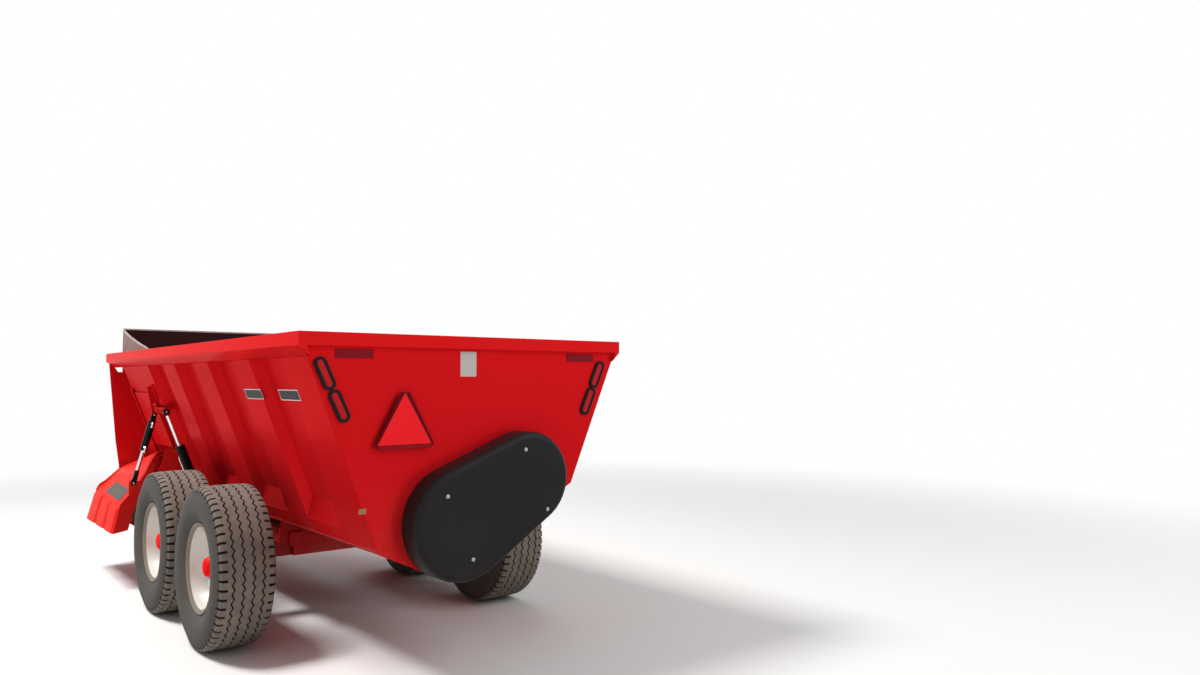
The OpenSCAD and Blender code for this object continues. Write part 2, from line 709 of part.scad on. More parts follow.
shaft_z = 760;            // height of the input shaft
input_r = 17.45;
gearbox_x = 300;
module gearbox() {
    color(dark_metal)
        difference() {
            union() {
                box([front_x, -130, shaft_z - 120], [front_x + gearbox_x, 130, shaft_z + 120]);
                bar_x(front_x + gearbox_x - skip, front_x + gearbox_x + 40, 0, shaft_z, 60);
            }
            bar_x(front_x + 60, front_x + gearbox_x + 60, 0, shaft_z, 30 + run_gap);
        }
}
module input_shaft() {
    color(bright_metal)
        union() {
            bar_x(front_x + 70, front_x + gearbox_x + 50, 0, shaft_z, 30);
            bar_x(front_x + gearbox_x + 40, front_x + gearbox_x + 140, 0, shaft_z, input_r);
        }
}
module front_drive_cover() {
    color(black)
        difference() {
            along_x(front_x, front_x + 150)
                polygon([[expeller_y + 90, expeller_z - 90], [expeller_y + 90, expeller_z + 90],
                         [lower_auger_y + 160, lower_auger_z + 160],
                         [-upper_auger_y - 60, upper_auger_z + 130],
                         [-upper_auger_y - 150, upper_auger_z], [-upper_auger_y - 40, upper_auger_z - 130],
                         [-131, lower_auger_z - 10], [131, lower_auger_z - 10], [131, bar_z + bar_h + 10],
                         [expeller_y - 260, bar_z + bar_h + 10], [expeller_y - 100, expeller_z - 90]]);
            for (p = [[lower_auger_y, lower_auger_z], [-upper_auger_y, upper_auger_z],
                      [expeller_y, expeller_z]])
                bar_x(front_x - skip, front_x + 60, p[0], p[1], 50);
        }
}

// Rear pieces

cover_low = [lower_auger_y, lower_auger_z];
cover_high = [-upper_auger_y, upper_auger_z];
cover_round = 45;
// One round end of the cover, standing back from the rear wall
module cover_end(p, r) {
    translate([rear_x, p[0], p[1]])
        rotate([0, -90, 0])
            rotate_extrude($fn = 40)
                polygon(concat([[0, 0], [r, 0], [r, cover_depth - cover_round]],
                               arc([r - cover_round, cover_depth - cover_round], cover_round, 15, 90, 5),
                               [[0, cover_depth]]));
}
module rear_drive_cover() {
    color(black)
        difference() {
            hull() {
                cover_end(cover_low, cover_low_r);
                cover_end(cover_high, cover_high_r);
            }
            for (p = [cover_low, cover_high])
                bar_x(rear_x - 60, rear_x + skip, p[0], p[1], 50);
        }
}
// Tail lamps: side, distance in from the wall, and depth below the rim's top edge
lamp_table = [[1, 50, 231], [1, 66, 413], [-1, 85, 231], [-1, 84, 413]];
// A side wall's distance from the centre at height z
function wall_y(s, z) =
    s > 0 ? left_foot_y + (z - left_foot_z) * tan(left_lean)
          : right_foot_y + (z - right_foot_z) * tan(right_lean);
lamps = [for (p = lamp_table) let (z = rim_top_z - p[2]) [p[0], wall_y(p[0], z) - p[1], z]];
lamp_tilt = 25;
lamp_ring = 18;           // how much smaller the lens is than its grommet
module stadium(l, w, h) {
    rotate([0, -90, 0])
        linear_extrude(h)
            union() {
                square([l - w, w], center = true);
                for (k = [-1, 1])
                    translate([k * (l - w) / 2, 0])
                        circle(d = w);
            }
}
module at_lamp(p) {
    translate([rear_x, p[0] * p[1], p[2]])
        rotate([p[0] * -lamp_tilt, 0, 0])
            children();
}
module lamp_grommets() {
    color(black)
        for (p = lamps)
            at_lamp(p)
                difference() {
                    stadium(lamp_length, lamp_width, 16);
                    translate([skip, 0, 0])
                        stadium(lamp_length - lamp_ring, lamp_width - lamp_ring, 20);
                }
}
module tail_lamps() {
    color("darkred")
        for (p = lamps)
            at_lamp(p)
                stadium(lamp_length - lamp_ring - 2 * seat, lamp_width - lamp_ring - 2 * seat, 12);
}
module rear_reflectors() {
    color("darkred")
        for (y = [rim_y - 332, 332 - rim_y])
            box([rear_x - 4, y - 115, rim_top_z - 144], [rear_x, y + 115, rim_top_z - 93]);
}
emblem_y = 510;
emblem_z = 1376;
emblem_out = 33;          // how far its bracket holds it behind the rear wall
emblem_t = 3;
module slow_emblem() {
    half = emblem_w / 2;
    high = emblem_w * 0.876;
    corner = [30, 24];    // how much each lower corner is cut off
    tip = 26;             // half width of its cut top
    color("orangered")
        union() {
            along_x(rear_x - emblem_out - emblem_t, rear_x - emblem_out)
                polygon([[emblem_y + half, emblem_z + corner[1]], [emblem_y + half - corner[0], emblem_z],
                         [emblem_y - half + corner[0], emblem_z], [emblem_y - half, emblem_z + corner[1]],
                         [emblem_y - tip, emblem_z + high], [emblem_y + tip, emblem_z + high]]);
            box([rear_x - emblem_out - skip, emblem_y - 25, emblem_z + 40],
                [rear_x, emblem_y + 25, emblem_z + 200]);
        }
}

// Discharge: housing, rotor, gate and hood

housing_x = hood_x - 20;  // outer face of the housing's rear plate
pan_gap = 25;
plate_t = 8;
pan_r = expeller_r + pan_gap;
expeller_axis = [expeller_y, expeller_z];
// Point on the left wall's section: s along the wall, n out of it
function wall_point(s, n) =
    left_foot + s * [sin(left_lean), cos(left_lean)] + n * [cos(left_lean), -sin(left_lean)];
hinge_s = 421;            // the hood's hinge along the wall, and out of it
hinge_n = 88;
hinge_y = wall_point(hinge_s, hinge_n)[0];
hinge_z = wall_point(hinge_s, hinge_n)[1];
hinge_pin_r = 12.5;
hinge_tube_r = 22;
// The pan's top edge seats under the trough's skin
pan_y = left_foot_y + 0.5;
floor_skin = moved_path(floor_path, wall_t + seat);
pan_top = floor_skin[0][1] + (pan_y - floor_skin[0][0]) * (floor_skin[1][1] - floor_skin[0][1])
          / (floor_skin[1][0] - floor_skin[0][0]);
pan_path = concat([[pan_y, pan_top]], arc(expeller_axis, pan_r, 192, 308, 12));
module expeller_housing() {
    color(paint)
        union() {
            difference() {
                along_x(housing_x, housing_x + plate_t)
                    polygon([wall_point(10, seat), wall_point(400, seat),
                             [hinge_y + 10, hinge_z + 35], [hinge_y + 40, hinge_z],
                             [hinge_y + 60, hinge_z - 100], [expeller_y + 145, expeller_z + 240],
                             [expeller_y + 215, expeller_z + 40], [expeller_y + 190, expeller_z - 190],
                             [expeller_y + 15, expeller_z - pan_r - 8],
                             [expeller_y - 125, expeller_z - pan_r + 20],
                             [pan_y, pan_top - 60], [pan_y, pan_top], floor_skin[0], wall_point(0, wall_t)]);
                bar_x(housing_x - skip, housing_x + plate_t + skip, expeller_y, expeller_z,
                      expeller_shaft_r + 20);
            }
            along_x(housing_x, inner_front_x)
                polygon(sheet(pan_path, plate_t));
            difference() {
                bar_x(housing_x - 40, housing_x + plate_t, expeller_y, expeller_z, 65);
                bar_x(housing_x - 40 - skip, housing_x + plate_t + skip, expeller_y, expeller_z,
                      expeller_shaft_r + run_gap);
            }
        }
}
hammer_rows = 6;
hammers = 5;
module expeller_rotor() {
    x0 = housing_x + plate_t + 30;
    x1 = inner_front_x - 60;
    step = (x1 - x0 - 60) / (hammer_rows * hammers - 1);
    color(bright_metal)
        union() {
            bar_x(x0, x1, expeller_y, expeller_z, 85);
            bar_x(housing_x - 45, front_x + 30, expeller_y, expeller_z, expeller_shaft_r);
            for (i = [0 : hammer_rows * hammers - 1])
                translate([x0 + 30 + i * step, expeller_y, expeller_z])
                    rotate([i * 360 / hammers * 2, 0, 0])
                        box([-10, -30, 70], [10, 30, expeller_r]);
        }
}
gate_side = 28;           // how far the gate's plate laps the opening at each side
gate_gap = 5;             // running gap of the gate
gate_back = gate_gap;     // the gate's back face, out from the wall
guide_t = 6;
gate_x0 = gate_x - gate_side;
gate_x1 = gate_x + gate_w + gate_side;
gate_s0 = gate_low - 22 + gate_open;
gate_s1 = gate_low + gate_h + 25 + gate_open;
gate_cyl_x = gate_x - 430;
gate_cyl_n = 45;
gate_pin_s = 794;
arm_n0 = gate_back + gate_t + 2 * gate_gap + guide_t + 2;
arm_t = 12;
module gate_plate() {
    color(paint)
        on_left_wall()
            difference() {
                union() {
                    box([gate_x0, gate_back, gate_s0], [gate_x1, gate_back + gate_t, gate_s1]);
                    box([gate_x0 + 22, gate_back, gate_pin_s - 40],
                        [gate_x0 + 60, arm_n0 + arm_t, gate_pin_s + 40]);
                    box([gate_cyl_x - 12, arm_n0, gate_pin_s - 30],
                        [gate_x0 + 60, arm_n0 + arm_t, gate_pin_s + 30]);
                    box([gate_cyl_x + 22, arm_n0, gate_pin_s - 30],
                        [gate_cyl_x + 34, gate_cyl_n + 28, gate_pin_s + 30]);
                }
                box([gate_cyl_x - 13, arm_n0 - skip, gate_pin_s - 31],
                    [gate_cyl_x + 22, arm_n0 + arm_t + skip, gate_pin_s + 31]);
                bar_x(gate_cyl_x, gate_cyl_x + 50, gate_cyl_n, gate_pin_s, 12 + seat);
            }
}
module gate_guides() {
    keep_n = gate_back + gate_t + gate_gap;
    s1 = gate_s1 + 40;
    color(paint)
        on_left_wall()
            for (g = [[gate_x0 - gate_gap, -1], [gate_x1 + gate_gap, 1]]) {
                x = g[0];
                d = g[1];
                box([min(x, x + d * 22), 0, gate_low - 25], [max(x, x + d * 22), keep_n, s1]);
                box([min(x - d * 22, x + d * 22), keep_n, gate_low - 25],
                    [max(x - d * 22, x + d * 22), keep_n + guide_t, s1]);
            }
}
barrel_r = 38;
rod_r = 16;
gland_s = gate_pin_s - 312;
barrel_foot_s = 120;
module gate_barrel() {
    color(black)
        on_left_wall()
            difference() {
                union() {
                    translate([gate_cyl_x, gate_cyl_n, barrel_foot_s])
                        cylinder(h = gland_s - barrel_foot_s, r = barrel_r);
                    bar_x(gate_cyl_x - 20, gate_cyl_x + 20, gate_cyl_n, barrel_foot_s - 15, 28);
                    for (k = [-1, 1])
                        box([gate_cyl_x + k * 26 - 6, 0, barrel_foot_s - 90],
                            [gate_cyl_x + k * 26 + 6, gate_cyl_n + 28, barrel_foot_s + 10]);
                    box([gate_cyl_x - 60, 0, barrel_foot_s - 100], [gate_cyl_x + 60, 10, barrel_foot_s - 34]);
                    bar_x(gate_cyl_x - 40, gate_cyl_x + 40, gate_cyl_n, barrel_foot_s - 15, 12);
                }
                translate([gate_cyl_x, gate_cyl_n, barrel_foot_s + 15])
                    cylinder(h = gland_s, r = rod_r + run_gap);
            }
}
module gate_rod() {
    color(bright_metal)
        on_left_wall()
            union() {
                translate([gate_cyl_x, gate_cyl_n, gland_s - 60])
                    cylinder(h = gate_pin_s - gland_s + 50, r = rod_r);
                bar_x(gate_cyl_x - 20, gate_cyl_x + 20, gate_cyl_n, gate_pin_s, 26);
                bar_x(gate_cyl_x - 24, gate_cyl_x + 40, gate_cyl_n, gate_pin_s, 12);
            }
}
hood_x1 = hood_x + hood_length;
hinge_axis = [hinge_y, hinge_z];
// The hinge line ends here at the hood's front, out from and above its rear end
hinge_front = [-40, -165];
hinge_l = norm([hood_length, hinge_front[0], hinge_front[1]]);
hinge_tuck = atan(-hinge_front[0] / hood_length);
hinge_drop = asin(-hinge_front[1] / hinge_l);
// Frame of the hood's hinge: X forward along it, Y outwards, Z up
module on_hinge() {
    translate([hood_x, hinge_y, hinge_z])
        rotate([0, hinge_drop, -hinge_tuck])
            children();
}
// Out and up in the hinge's frame of the layout's point w
function to_hinge(w) =
    let (d = w - [hood_x, hinge_y, hinge_z], x = d[0] * cos(hinge_tuck) - d[1] * sin(hinge_tuck))
    [d[0] * sin(hinge_tuck) + d[1] * cos(hinge_tuck), x * sin(hinge_drop) + d[2] * cos(hinge_drop)];
// The hood's sheet from its hinge out to the lip, at its rear and at its front:
// out from and above the hinge's rear end
hood_profiles = [
    [[14, 14], [-26, -151]],
    [[55, 22], [10, -160]],
    [[100, 0], [50, -175]],
    [[140, -65], [100, -197]],
    [[185, -165], [155, -228]],
    [[245, -270], [205, -280]],
    [[315, -355], [262, -338]],
    [[375, -428], [335, -400]],
    [[420, -670], [405, -680]]
];
hood_rear = [for (p = hood_profiles) hinge_axis + p[0]];
hood_front = [for (p = hood_profiles) hinge_axis + p[1]];
// Inner edges of the two end plates, and the front plate's raised outer edge
rear_end_edge = [[310, -650], [275, -510], [215, -360], [135, -220], [105, -110]];
front_end_edge = [[300, -655], [265, -520], [232, -400], [170, -305], [80, -250], [0, -238], [-50, -215],
                  [-58, -165]];
front_end_rise = [[100, -190], [160, -222], [212, -270], [268, -322], [326, -360], [346, -400]];
hood_cyl_l = 43;          // the cylinder's place along the hinge line
hood_eye = [275, -252];   // pin of the cylinder's rod in the hinge's frame
top_s = 763.5;            // pin of its barrel along the wall, and out of it
top_n = 70.5;
top_yz = wall_point(top_s, top_n);
top_x = hood_x + (hood_cyl_l + (top_yz[0] - hinge_y) * sin(hinge_tuck) * cos(hinge_drop)
                  + (top_yz[1] - hinge_z) * sin(hinge_drop)) / (cos(hinge_tuck) * cos(hinge_drop));
hood_top = to_hinge([top_x, top_yz[0], top_yz[1]]);
hood_pin_r = 10;
hood_lug_t = 14;
hood_lug_r = 36;
hood_slack_r = 20;        // hole in the hood's lug, wider than the cylinder's pin
lip_fold = 65;            // flat band left above the grooves
lip_half = 62;
lip_flat = 18;
lip_deep = 20;
lip_grooves = [0.30, 0.64];
lip_count = len(hood_profiles) - 1;
// Point i of the sheet, k of the way along the hood
function hood_point(i, k) = hood_rear[i] + k * (hood_front[i] - hood_rear[i]);
// Height of the lip k of the way along
function lip_l(k) = norm(hood_point(lip_count, k) - hood_point(lip_count - 1, k));
lip_yaw = atan((hood_rear[lip_count][0] - hood_front[lip_count][0] + hood_rear[lip_count - 1][0]
                - hood_front[lip_count - 1][0]) / 2 / hood_length);
// Frame at the lip's bottom edge, k of the way along the hood: Y out of the lip, Z up along it
module on_lip(k) {
    low = hood_point(lip_count, k);
    top = hood_point(lip_count - 1, k);
    translate([hood_x + k * hood_length, low[0], low[1]])
        rotate([atan2(low[0] - top[0], top[1] - low[1]), 0, -lip_yaw])
            children();
}
// Skin between outline a at x0 and outline b at x1, each a sheet of even point count
module lofted(a, b, x0, x1) {
    n = len(a);
    pts = concat([for (p = a) [x0, p[0], p[1]]], [for (p = b) [x1, p[0], p[1]]]);
    sides = [for (i = [0 : n - 1]) let (j = (i + 1) % n) for (f = [[i, j, n + j], [i, n + j, n + i]]) f];
    rear_cap = [for (i = [0 : n / 2 - 2]) let (k = n - 1 - i) for (f = [[i, k, k - 1], [i, k - 1, i + 1]]) f];
    front_cap = [for (f = rear_cap) [n + f[2], n + f[1], n + f[0]]];
    polyhedron(points = pts, faces = concat(sides, rear_cap, front_cap));
}
module hood() {
    n = len(hood_profiles);
    color(paint)
        difference() {
            union() {
                lofted(sheet(hood_rear, -hood_t), sheet(hood_front, -hood_t), hood_x, hood_x1);
                on_hinge()
                    bar_x(4, hinge_l - 4, 0, 0, hinge_tube_r);
                along_x(hood_x, hood_x + hood_t)
                    polygon(concat([for (i = [3 : n - 1]) hood_rear[i]],
                                   [for (p = rear_end_edge) hinge_axis + p]));
                along_x(hood_x1 - hood_t, hood_x1)
                    polygon(concat([for (p = front_end_rise) hinge_axis + p], [hood_front[n - 1]],
                                   [for (p = front_end_edge) hinge_axis + p], [hood_front[1]]));
                // lug for the cylinder
                on_hinge()
                    along_x(hood_cyl_l - hood_lug_t / 2, hood_cyl_l + hood_lug_t / 2)
                        polygon(concat([hood_eye + [-54, 10]], arc(hood_eye, hood_lug_r, 150, -10, 8),
                                       [hood_eye + [36, -104], hood_eye + [-34, -28]]));
                // pressed grooves stiffen the lip
                for (k = lip_grooves)
                    on_lip(k)
                        linear_extrude(lip_l(k) - lip_fold)
                            polygon([[-lip_half - 6, -hood_t / 2], [lip_half + 6, -hood_t / 2],
                                     [lip_half + 6, -hood_t],
                                     [lip_flat + 4, -lip_deep - hood_t], [-lip_flat - 4, -lip_deep - hood_t],
                                     [-lip_half - 6, -hood_t]]);
            }
            for (k = lip_grooves)
                on_lip(k)
                    translate([0, 0, -skip])
                        linear_extrude(lip_l(k) - lip_fold)
                            polygon([[-lip_half, 2 * skip], [lip_half, 2 * skip], [lip_half, 0],
                                     [lip_flat, -lip_deep],
                                     [-lip_flat, -lip_deep], [-lip_half, 0]]);
            on_hinge() {
                bar_x(-hood_t, hinge_l + hood_t, 0, 0, hinge_pin_r + run_gap);
                bar_x(hood_cyl_l - hood_lug_t, hood_cyl_l + hood_lug_t, hood_eye[0], hood_eye[1],
                      hood_slack_r);
            }
        }
}
// Hinge pins from the housing's rear plate and from the front wall
module hood_pins() {
    pin_in = 90;
    color(bright_metal)
        intersection() {
            on_hinge() {
                bar_x(-2 * (hood_x - housing_x), pin_in, 0, 0, hinge_pin_r);
                bar_x(hinge_l - pin_in, hinge_l + 2 * hood_gap, 0, 0, hinge_pin_r);
            }
            box([housing_x + plate_t, 0, 0], [inner_front_x, 2 * rim_y, rim_top_z]);
        }
}
bracket_t = 10;
bracket_low = 880;        // foot of the bracket on the wall
bracket_high = 1020;
bracket_r = 22;           // its round end about the cylinder's pin
top_pin_r = 12;
module hood_bracket() {
    // reaches over the gate's arm from its foot on the wall
    arm_clear = arm_n0 + arm_t + gate_gap + 2;
    color(paint)
        difference() {
            on_left_wall() {
                along_x(top_x - bracket_t / 2, top_x + bracket_t / 2)
                    polygon(concat([[0, bracket_low], [0, bracket_high], [40, bracket_high]],
                                   arc([top_n, top_s], bracket_r, 60, -150, 10),
                                   [[arm_clear, top_s + 20], [arm_clear, bracket_low - 20]]));
                box([top_x - 60, 0, bracket_low - 10], [top_x + bracket_t / 2, 8, bracket_high + 10]);
            }
            on_hinge()
                bar_x(hood_cyl_l - 60, hood_cyl_l + 60, hood_top[0], hood_top[1], top_pin_r + run_gap);
        }
}
cyl_dir = unit(hood_eye - hood_top);
cyl_len = norm(hood_eye - hood_top);
cyl_angle = atan2(cyl_dir[0], -cyl_dir[1]);
// Frame of the hood's cylinder: origin at its top pin, X along the hinge line, Z down along it
module on_hood_cylinder() {
    on_hinge()
        translate([hood_cyl_l, hood_top[0], hood_top[1]])
            rotate([cyl_angle, 0, 0])
                mirror([0, 0, 1])
                    children();
}
// Fork of two ears about X, gap apart, with its bridge from z0 to z1
module fork(gap, ear_t, r, z0, z1, z_eye) {
    for (k = [-1, 1]) {
        x = k > 0 ? gap / 2 : -gap / 2 - ear_t;
        bar_x(x, x + ear_t, 0, z_eye, r);
        box([x, -r, min(z0, z_eye)], [x + ear_t, r, max(z1, z_eye)]);
    }
    box([-gap / 2 - ear_t, -r, z0], [gap / 2 + ear_t, r, z1]);
}
hood_barrel_l = 322;
hood_barrel_r = 30;
ear_t = 8;
top_fork_gap = 18;        // wide enough for the slanted bracket plate
module hood_barrel() {
    color(black)
        on_hood_cylinder()
            difference() {
                union() {
                    translate([0, 0, 50])
                        cylinder(h = hood_barrel_l - 50, r = hood_barrel_r);
                    fork(top_fork_gap, ear_t, 22, 36, 52, 0);
                    bar_x(-top_fork_gap / 2 - ear_t - 8, top_fork_gap / 2 + ear_t + 8, 0, 0, top_pin_r);
                }
                translate([0, 0, 65])
                    cylinder(h = hood_barrel_l, r = rod_r + run_gap);
            }
}
rod_fork_l = 78;          // the rod's fork, from its pin to its neck
rod_neck_l = 32;
module hood_rod() {
    color(bright_metal)
        on_hood_cylinder()
            union() {
                translate([0, 0, cyl_len - 330])
                    cylinder(h = 330 - rod_fork_l + 2, r = rod_r);
                translate([0, 0, cyl_len - rod_fork_l - rod_neck_l])
                    cylinder(h = rod_neck_l + 1, r = rod_r + 3);
                fork(hood_lug_t + 2, ear_t, 19, cyl_len - rod_fork_l, cyl_len - 46, cyl_len);
                bar_x(-hood_lug_t - 10, hood_lug_t + 10, 0, cyl_len, hood_pin_r);
            }
}

// The whole machine is set down with its origin at the middle of its footprint

left_most = hood_rear[lip_count][0];
right_most = wheel_y + tyre_w / 2;
mid_x = (rear_x - cover_depth + hitch_x + 40) / 2;
mid_y = (left_most - right_most) / 2;
module set_down() {
    translate([-mid_x, -mid_y, 0])
        children();
}
set_down() tank_left_wall();
set_down() tank_right_wall();
set_down() tank_rear_wall();
set_down() tank_front_wall();
set_down() trough_floor();
set_down() top_rim();
set_down() splash_guard();
set_down() lower_auger();
set_down() upper_auger();
set_down() auger_bearings();
set_down() chassis_frame();
set_down() floor_saddles();
set_down() axle_beam();
set_down() walking_beams();
set_down() tyre_front_left();
set_down() rim_front_left();
set_down() hub_front_left();
set_down() tyre_front_right();
set_down() rim_front_right();
set_down() hub_front_right();
set_down() tyre_rear_left();
set_down() rim_rear_left();
set_down() hub_rear_left();
set_down() tyre_rear_right();
set_down() rim_rear_right();
set_down() hub_rear_right();
set_down() drawbar();
set_down() hitch_clevis();
set_down() jack_tube();
set_down() jack_leg();
set_down() gearbox();
set_down() input_shaft();
set_down() front_drive_cover();
set_down() rear_drive_cover();
set_down() tail_lamps();
set_down() lamp_grommets();
set_down() rear_reflectors();
set_down() slow_emblem();
set_down() expeller_housing();
set_down() expeller_rotor();
set_down() gate_plate();
set_down() gate_guides();
set_down() gate_barrel();
set_down() gate_rod();
set_down() hood();
set_down() hood_pins();
set_down() hood_bracket();
set_down() hood_barrel();
set_down() hood_rod();
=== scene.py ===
import math

import bmesh
import bpy
from mathutils import Matrix, Vector


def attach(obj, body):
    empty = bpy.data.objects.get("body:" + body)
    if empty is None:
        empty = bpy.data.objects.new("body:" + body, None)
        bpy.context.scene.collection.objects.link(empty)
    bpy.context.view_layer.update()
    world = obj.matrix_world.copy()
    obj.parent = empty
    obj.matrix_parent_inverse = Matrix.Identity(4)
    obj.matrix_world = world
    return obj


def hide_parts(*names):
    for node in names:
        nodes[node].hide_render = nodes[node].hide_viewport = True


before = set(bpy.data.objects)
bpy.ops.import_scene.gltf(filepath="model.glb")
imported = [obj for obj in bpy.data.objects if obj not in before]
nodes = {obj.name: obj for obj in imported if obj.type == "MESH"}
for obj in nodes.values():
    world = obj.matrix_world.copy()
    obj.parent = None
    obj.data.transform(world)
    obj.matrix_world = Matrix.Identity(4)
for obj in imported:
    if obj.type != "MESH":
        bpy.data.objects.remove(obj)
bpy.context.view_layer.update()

# Camera: where the photographer stood, behind the machine and to its left, at eye height.
# MID is the middle of the rear axle, on the ground; all places below are measured from it.
MID = Vector((-1.833, -0.024727, 0.0))
SENSOR_W, PHOTO_W = 36.0, 1200
FOCAL_PX, SHIFT_PX, SIGHT = 876.4, -7.0, 200.0
eye = MID + Vector((-6.233, 2.916, 1.769))
yaw, pitch, roll = math.radians(39.66), math.radians(3.31), math.radians(-0.10)
ahead = Vector((math.cos(yaw) * math.cos(pitch), -math.sin(yaw) * math.cos(pitch), math.sin(pitch)))
level = Vector((-math.sin(yaw), -math.cos(yaw), 0.0))
upright = level.cross(ahead)
right = math.cos(roll) * level + math.sin(roll) * upright
over = math.cos(roll) * upright - math.sin(roll) * level
camera = bpy.data.objects.new("camera", bpy.data.cameras.new("camera"))
bpy.context.scene.collection.objects.link(camera)
camera.matrix_world = Matrix((right, over, -ahead)).transposed().to_4x4()
camera.matrix_world.translation = eye
camera.data.sensor_width = SENSOR_W
camera.data.lens = SENSOR_W * FOCAL_PX / PHOTO_W
camera.data.shift_y = SHIFT_PX / PHOTO_W
camera.data.clip_end = SIGHT
bpy.context.scene.camera = camera

# Studio: a pale floor that fades into white, three soft lamps and a plain sky.
# The floor keeps the machine's shadow.
LAMPS_AIM = Vector((0, 0, 0.9))
FLOOR_HALF, FLOOR_DROP, FADE_FROM, FADE_TO = 90, 0.001, 4.5, 13.0
sky_light, white_light = ((0.92, 0.96, 1.0, 1.0), 0.46), ((1.0, 1.0, 1.0, 1.0), 1.0)
floor_colour = (0.72, 0.71, 0.69, 1)


def math_node(tree, operation, a, b, clamp=False):
    """A math node on a and b, which are sockets or numbers."""
    n = tree.nodes.new("ShaderNodeMath")
    n.operation = operation
    n.use_clamp = clamp
    for i, v in enumerate((a, b)):
        if isinstance(v, (int, float)):
            n.inputs[i].default_value = v
        else:
            tree.links.new(v, n.inputs[i])
    return n.outputs[0]


def spread(tree, value, low, high, to_low=0.0, to_high=1.0):
    """Eases a value that runs from low to high into one from to_low to to_high."""
    n = tree.nodes.new("ShaderNodeMapRange")
    n.interpolation_type = "SMOOTHSTEP"
    for label, v in (("Value", value), ("From Min", low), ("From Max", high), ("To Min", to_low),
                     ("To Max", to_high)):
        if isinstance(v, (int, float)):
            n.inputs[label].default_value = v
        else:
            tree.links.new(v, n.inputs[label])
    return n.outputs["Result"]


def object_place(tree):
    """Where a point of the surface is, in the piece's own coordinates."""
    return tree.nodes.new("ShaderNodeTexCoord").outputs["Object"]


def lamp(name, azimuth, elevation, distance, size, power):
    """A square soft lamp that looks at the middle of the machine."""
    data = bpy.data.lights.new(name, "AREA")
    data.shape = "SQUARE"
    data.size = size
    data.energy = power
    a, e = math.radians(azimuth), math.radians(elevation)
    away = Vector((math.cos(e) * math.cos(a), math.cos(e) * math.sin(a), math.sin(e)))
    o = bpy.data.objects.new(name, data)
    o.location = LAMPS_AIM + away * distance
    o.rotation_euler = (-away).to_track_quat("-Z", "Y").to_euler()
    bpy.context.scene.collection.objects.link(o)


bpy.context.scene.view_settings.view_transform = "Standard"
sky = bpy.data.worlds.new("studio")
bpy.context.scene.world = sky
sky.use_nodes = True
t = sky.node_tree
t.nodes.clear()
rays = t.nodes.new("ShaderNodeLightPath").outputs
seen = math_node(t, "MAXIMUM", rays["Is Camera Ray"], rays["Is Transmission Ray"])
sky_mix = t.nodes.new("ShaderNodeMixShader")
t.links.new(math_node(t, "MAXIMUM", seen, rays["Is Glossy Ray"]), sky_mix.inputs[0])
for i, (colour, strength) in enumerate((sky_light, white_light)):
    background = t.nodes.new("ShaderNodeBackground")
    background.inputs["Color"].default_value = colour
    background.inputs["Strength"].default_value = strength
    t.links.new(background.outputs[0], sky_mix.inputs[1 + i])
t.links.new(sky_mix.outputs[0], t.nodes.new("ShaderNodeOutputWorld").inputs["Surface"])

lamp("high_left", 78, 62, 11, 3.0, 1650)
lamp("behind", 205, 30, 12, 6.0, 370)
lamp("front_right", -40, 45, 12, 6.0, 260)

floor_mesh = bpy.data.meshes.new("studio_floor")
floor_mesh.from_pydata([(x * FLOOR_HALF, y * FLOOR_HALF, 0) for x, y in ((-1, -1), (1, -1), (1, 1), (-1, 1))],
                       [], [(0, 1, 2, 3)])
floor = bpy.data.objects.new("studio_floor", floor_mesh)
floor.location.z = -FLOOR_DROP
bpy.context.scene.collection.objects.link(floor)
floor_paint = bpy.data.materials.new("studio_floor")
floor_paint.use_nodes = True
t = floor_paint.node_tree
t.nodes.clear()
reach = t.nodes.new("ShaderNodeVectorMath")
reach.operation = "LENGTH"
t.links.new(object_place(t), reach.inputs[0])
floor_mix = t.nodes.new("ShaderNodeMixShader")
t.links.new(spread(t, reach.outputs["Value"], FADE_FROM, FADE_TO), floor_mix.inputs[0])
pale = t.nodes.new("ShaderNodeBsdfDiffuse")
pale.inputs["Color"].default_value = floor_colour
t.links.new(pale.outputs[0], floor_mix.inputs[1])
white = t.nodes.new("ShaderNodeEmission")
white.inputs["Strength"].default_value = 1.0
t.links.new(white.outputs[0], floor_mix.inputs[2])
t.links.new(floor_mix.outputs[0], t.nodes.new("ShaderNodeOutputMaterial").inputs["Surface"])
floor.data.materials.append(floor_paint)

# Tank: 5 mm steel sheet with bays pressed into both sides, folded and welded, under a boxed rim.
# It is sprayed with glossy red enamel; dust settles low down and dulls it, and bends are rounded.
COAT_ROUGH, DUSTED_ROUGH, MOST_ROUGH, FULL_DUST, GRAIN_H = 0.08, 0.45, 0.9, 0.6, 0.002
dust_tan = (0.36, 0.28, 0.20)


def effect(name, inputs, outputs):
    """A shader node group with named inputs (name, value) and outputs (name, kind)."""
    g = bpy.data.node_groups.new(name, "ShaderNodeTree")
    for label, value in inputs:
        s = g.interface.new_socket(name=label, in_out="INPUT", socket_type="NodeSocketFloat")
        s.default_value = value
    for label, kind in outputs:
        g.interface.new_socket(name=label, in_out="OUTPUT", socket_type="NodeSocket" + kind)
    return g, g.nodes.new("NodeGroupInput").outputs, g.nodes.new("NodeGroupOutput").inputs


def noise(tree, vector, scale, detail, rough):
    """Cloudy noise, from 0 to 1; its scale is a socket or a number."""
    n = tree.nodes.new("ShaderNodeTexNoise")
    n.inputs["Detail"].default_value = detail
    n.inputs["Roughness"].default_value = rough
    if isinstance(scale, (int, float)):
        n.inputs["Scale"].default_value = scale
    else:
        tree.links.new(scale, n.inputs["Scale"])
    tree.links.new(vector, n.inputs["Vector"])
    return n.outputs["Fac"]


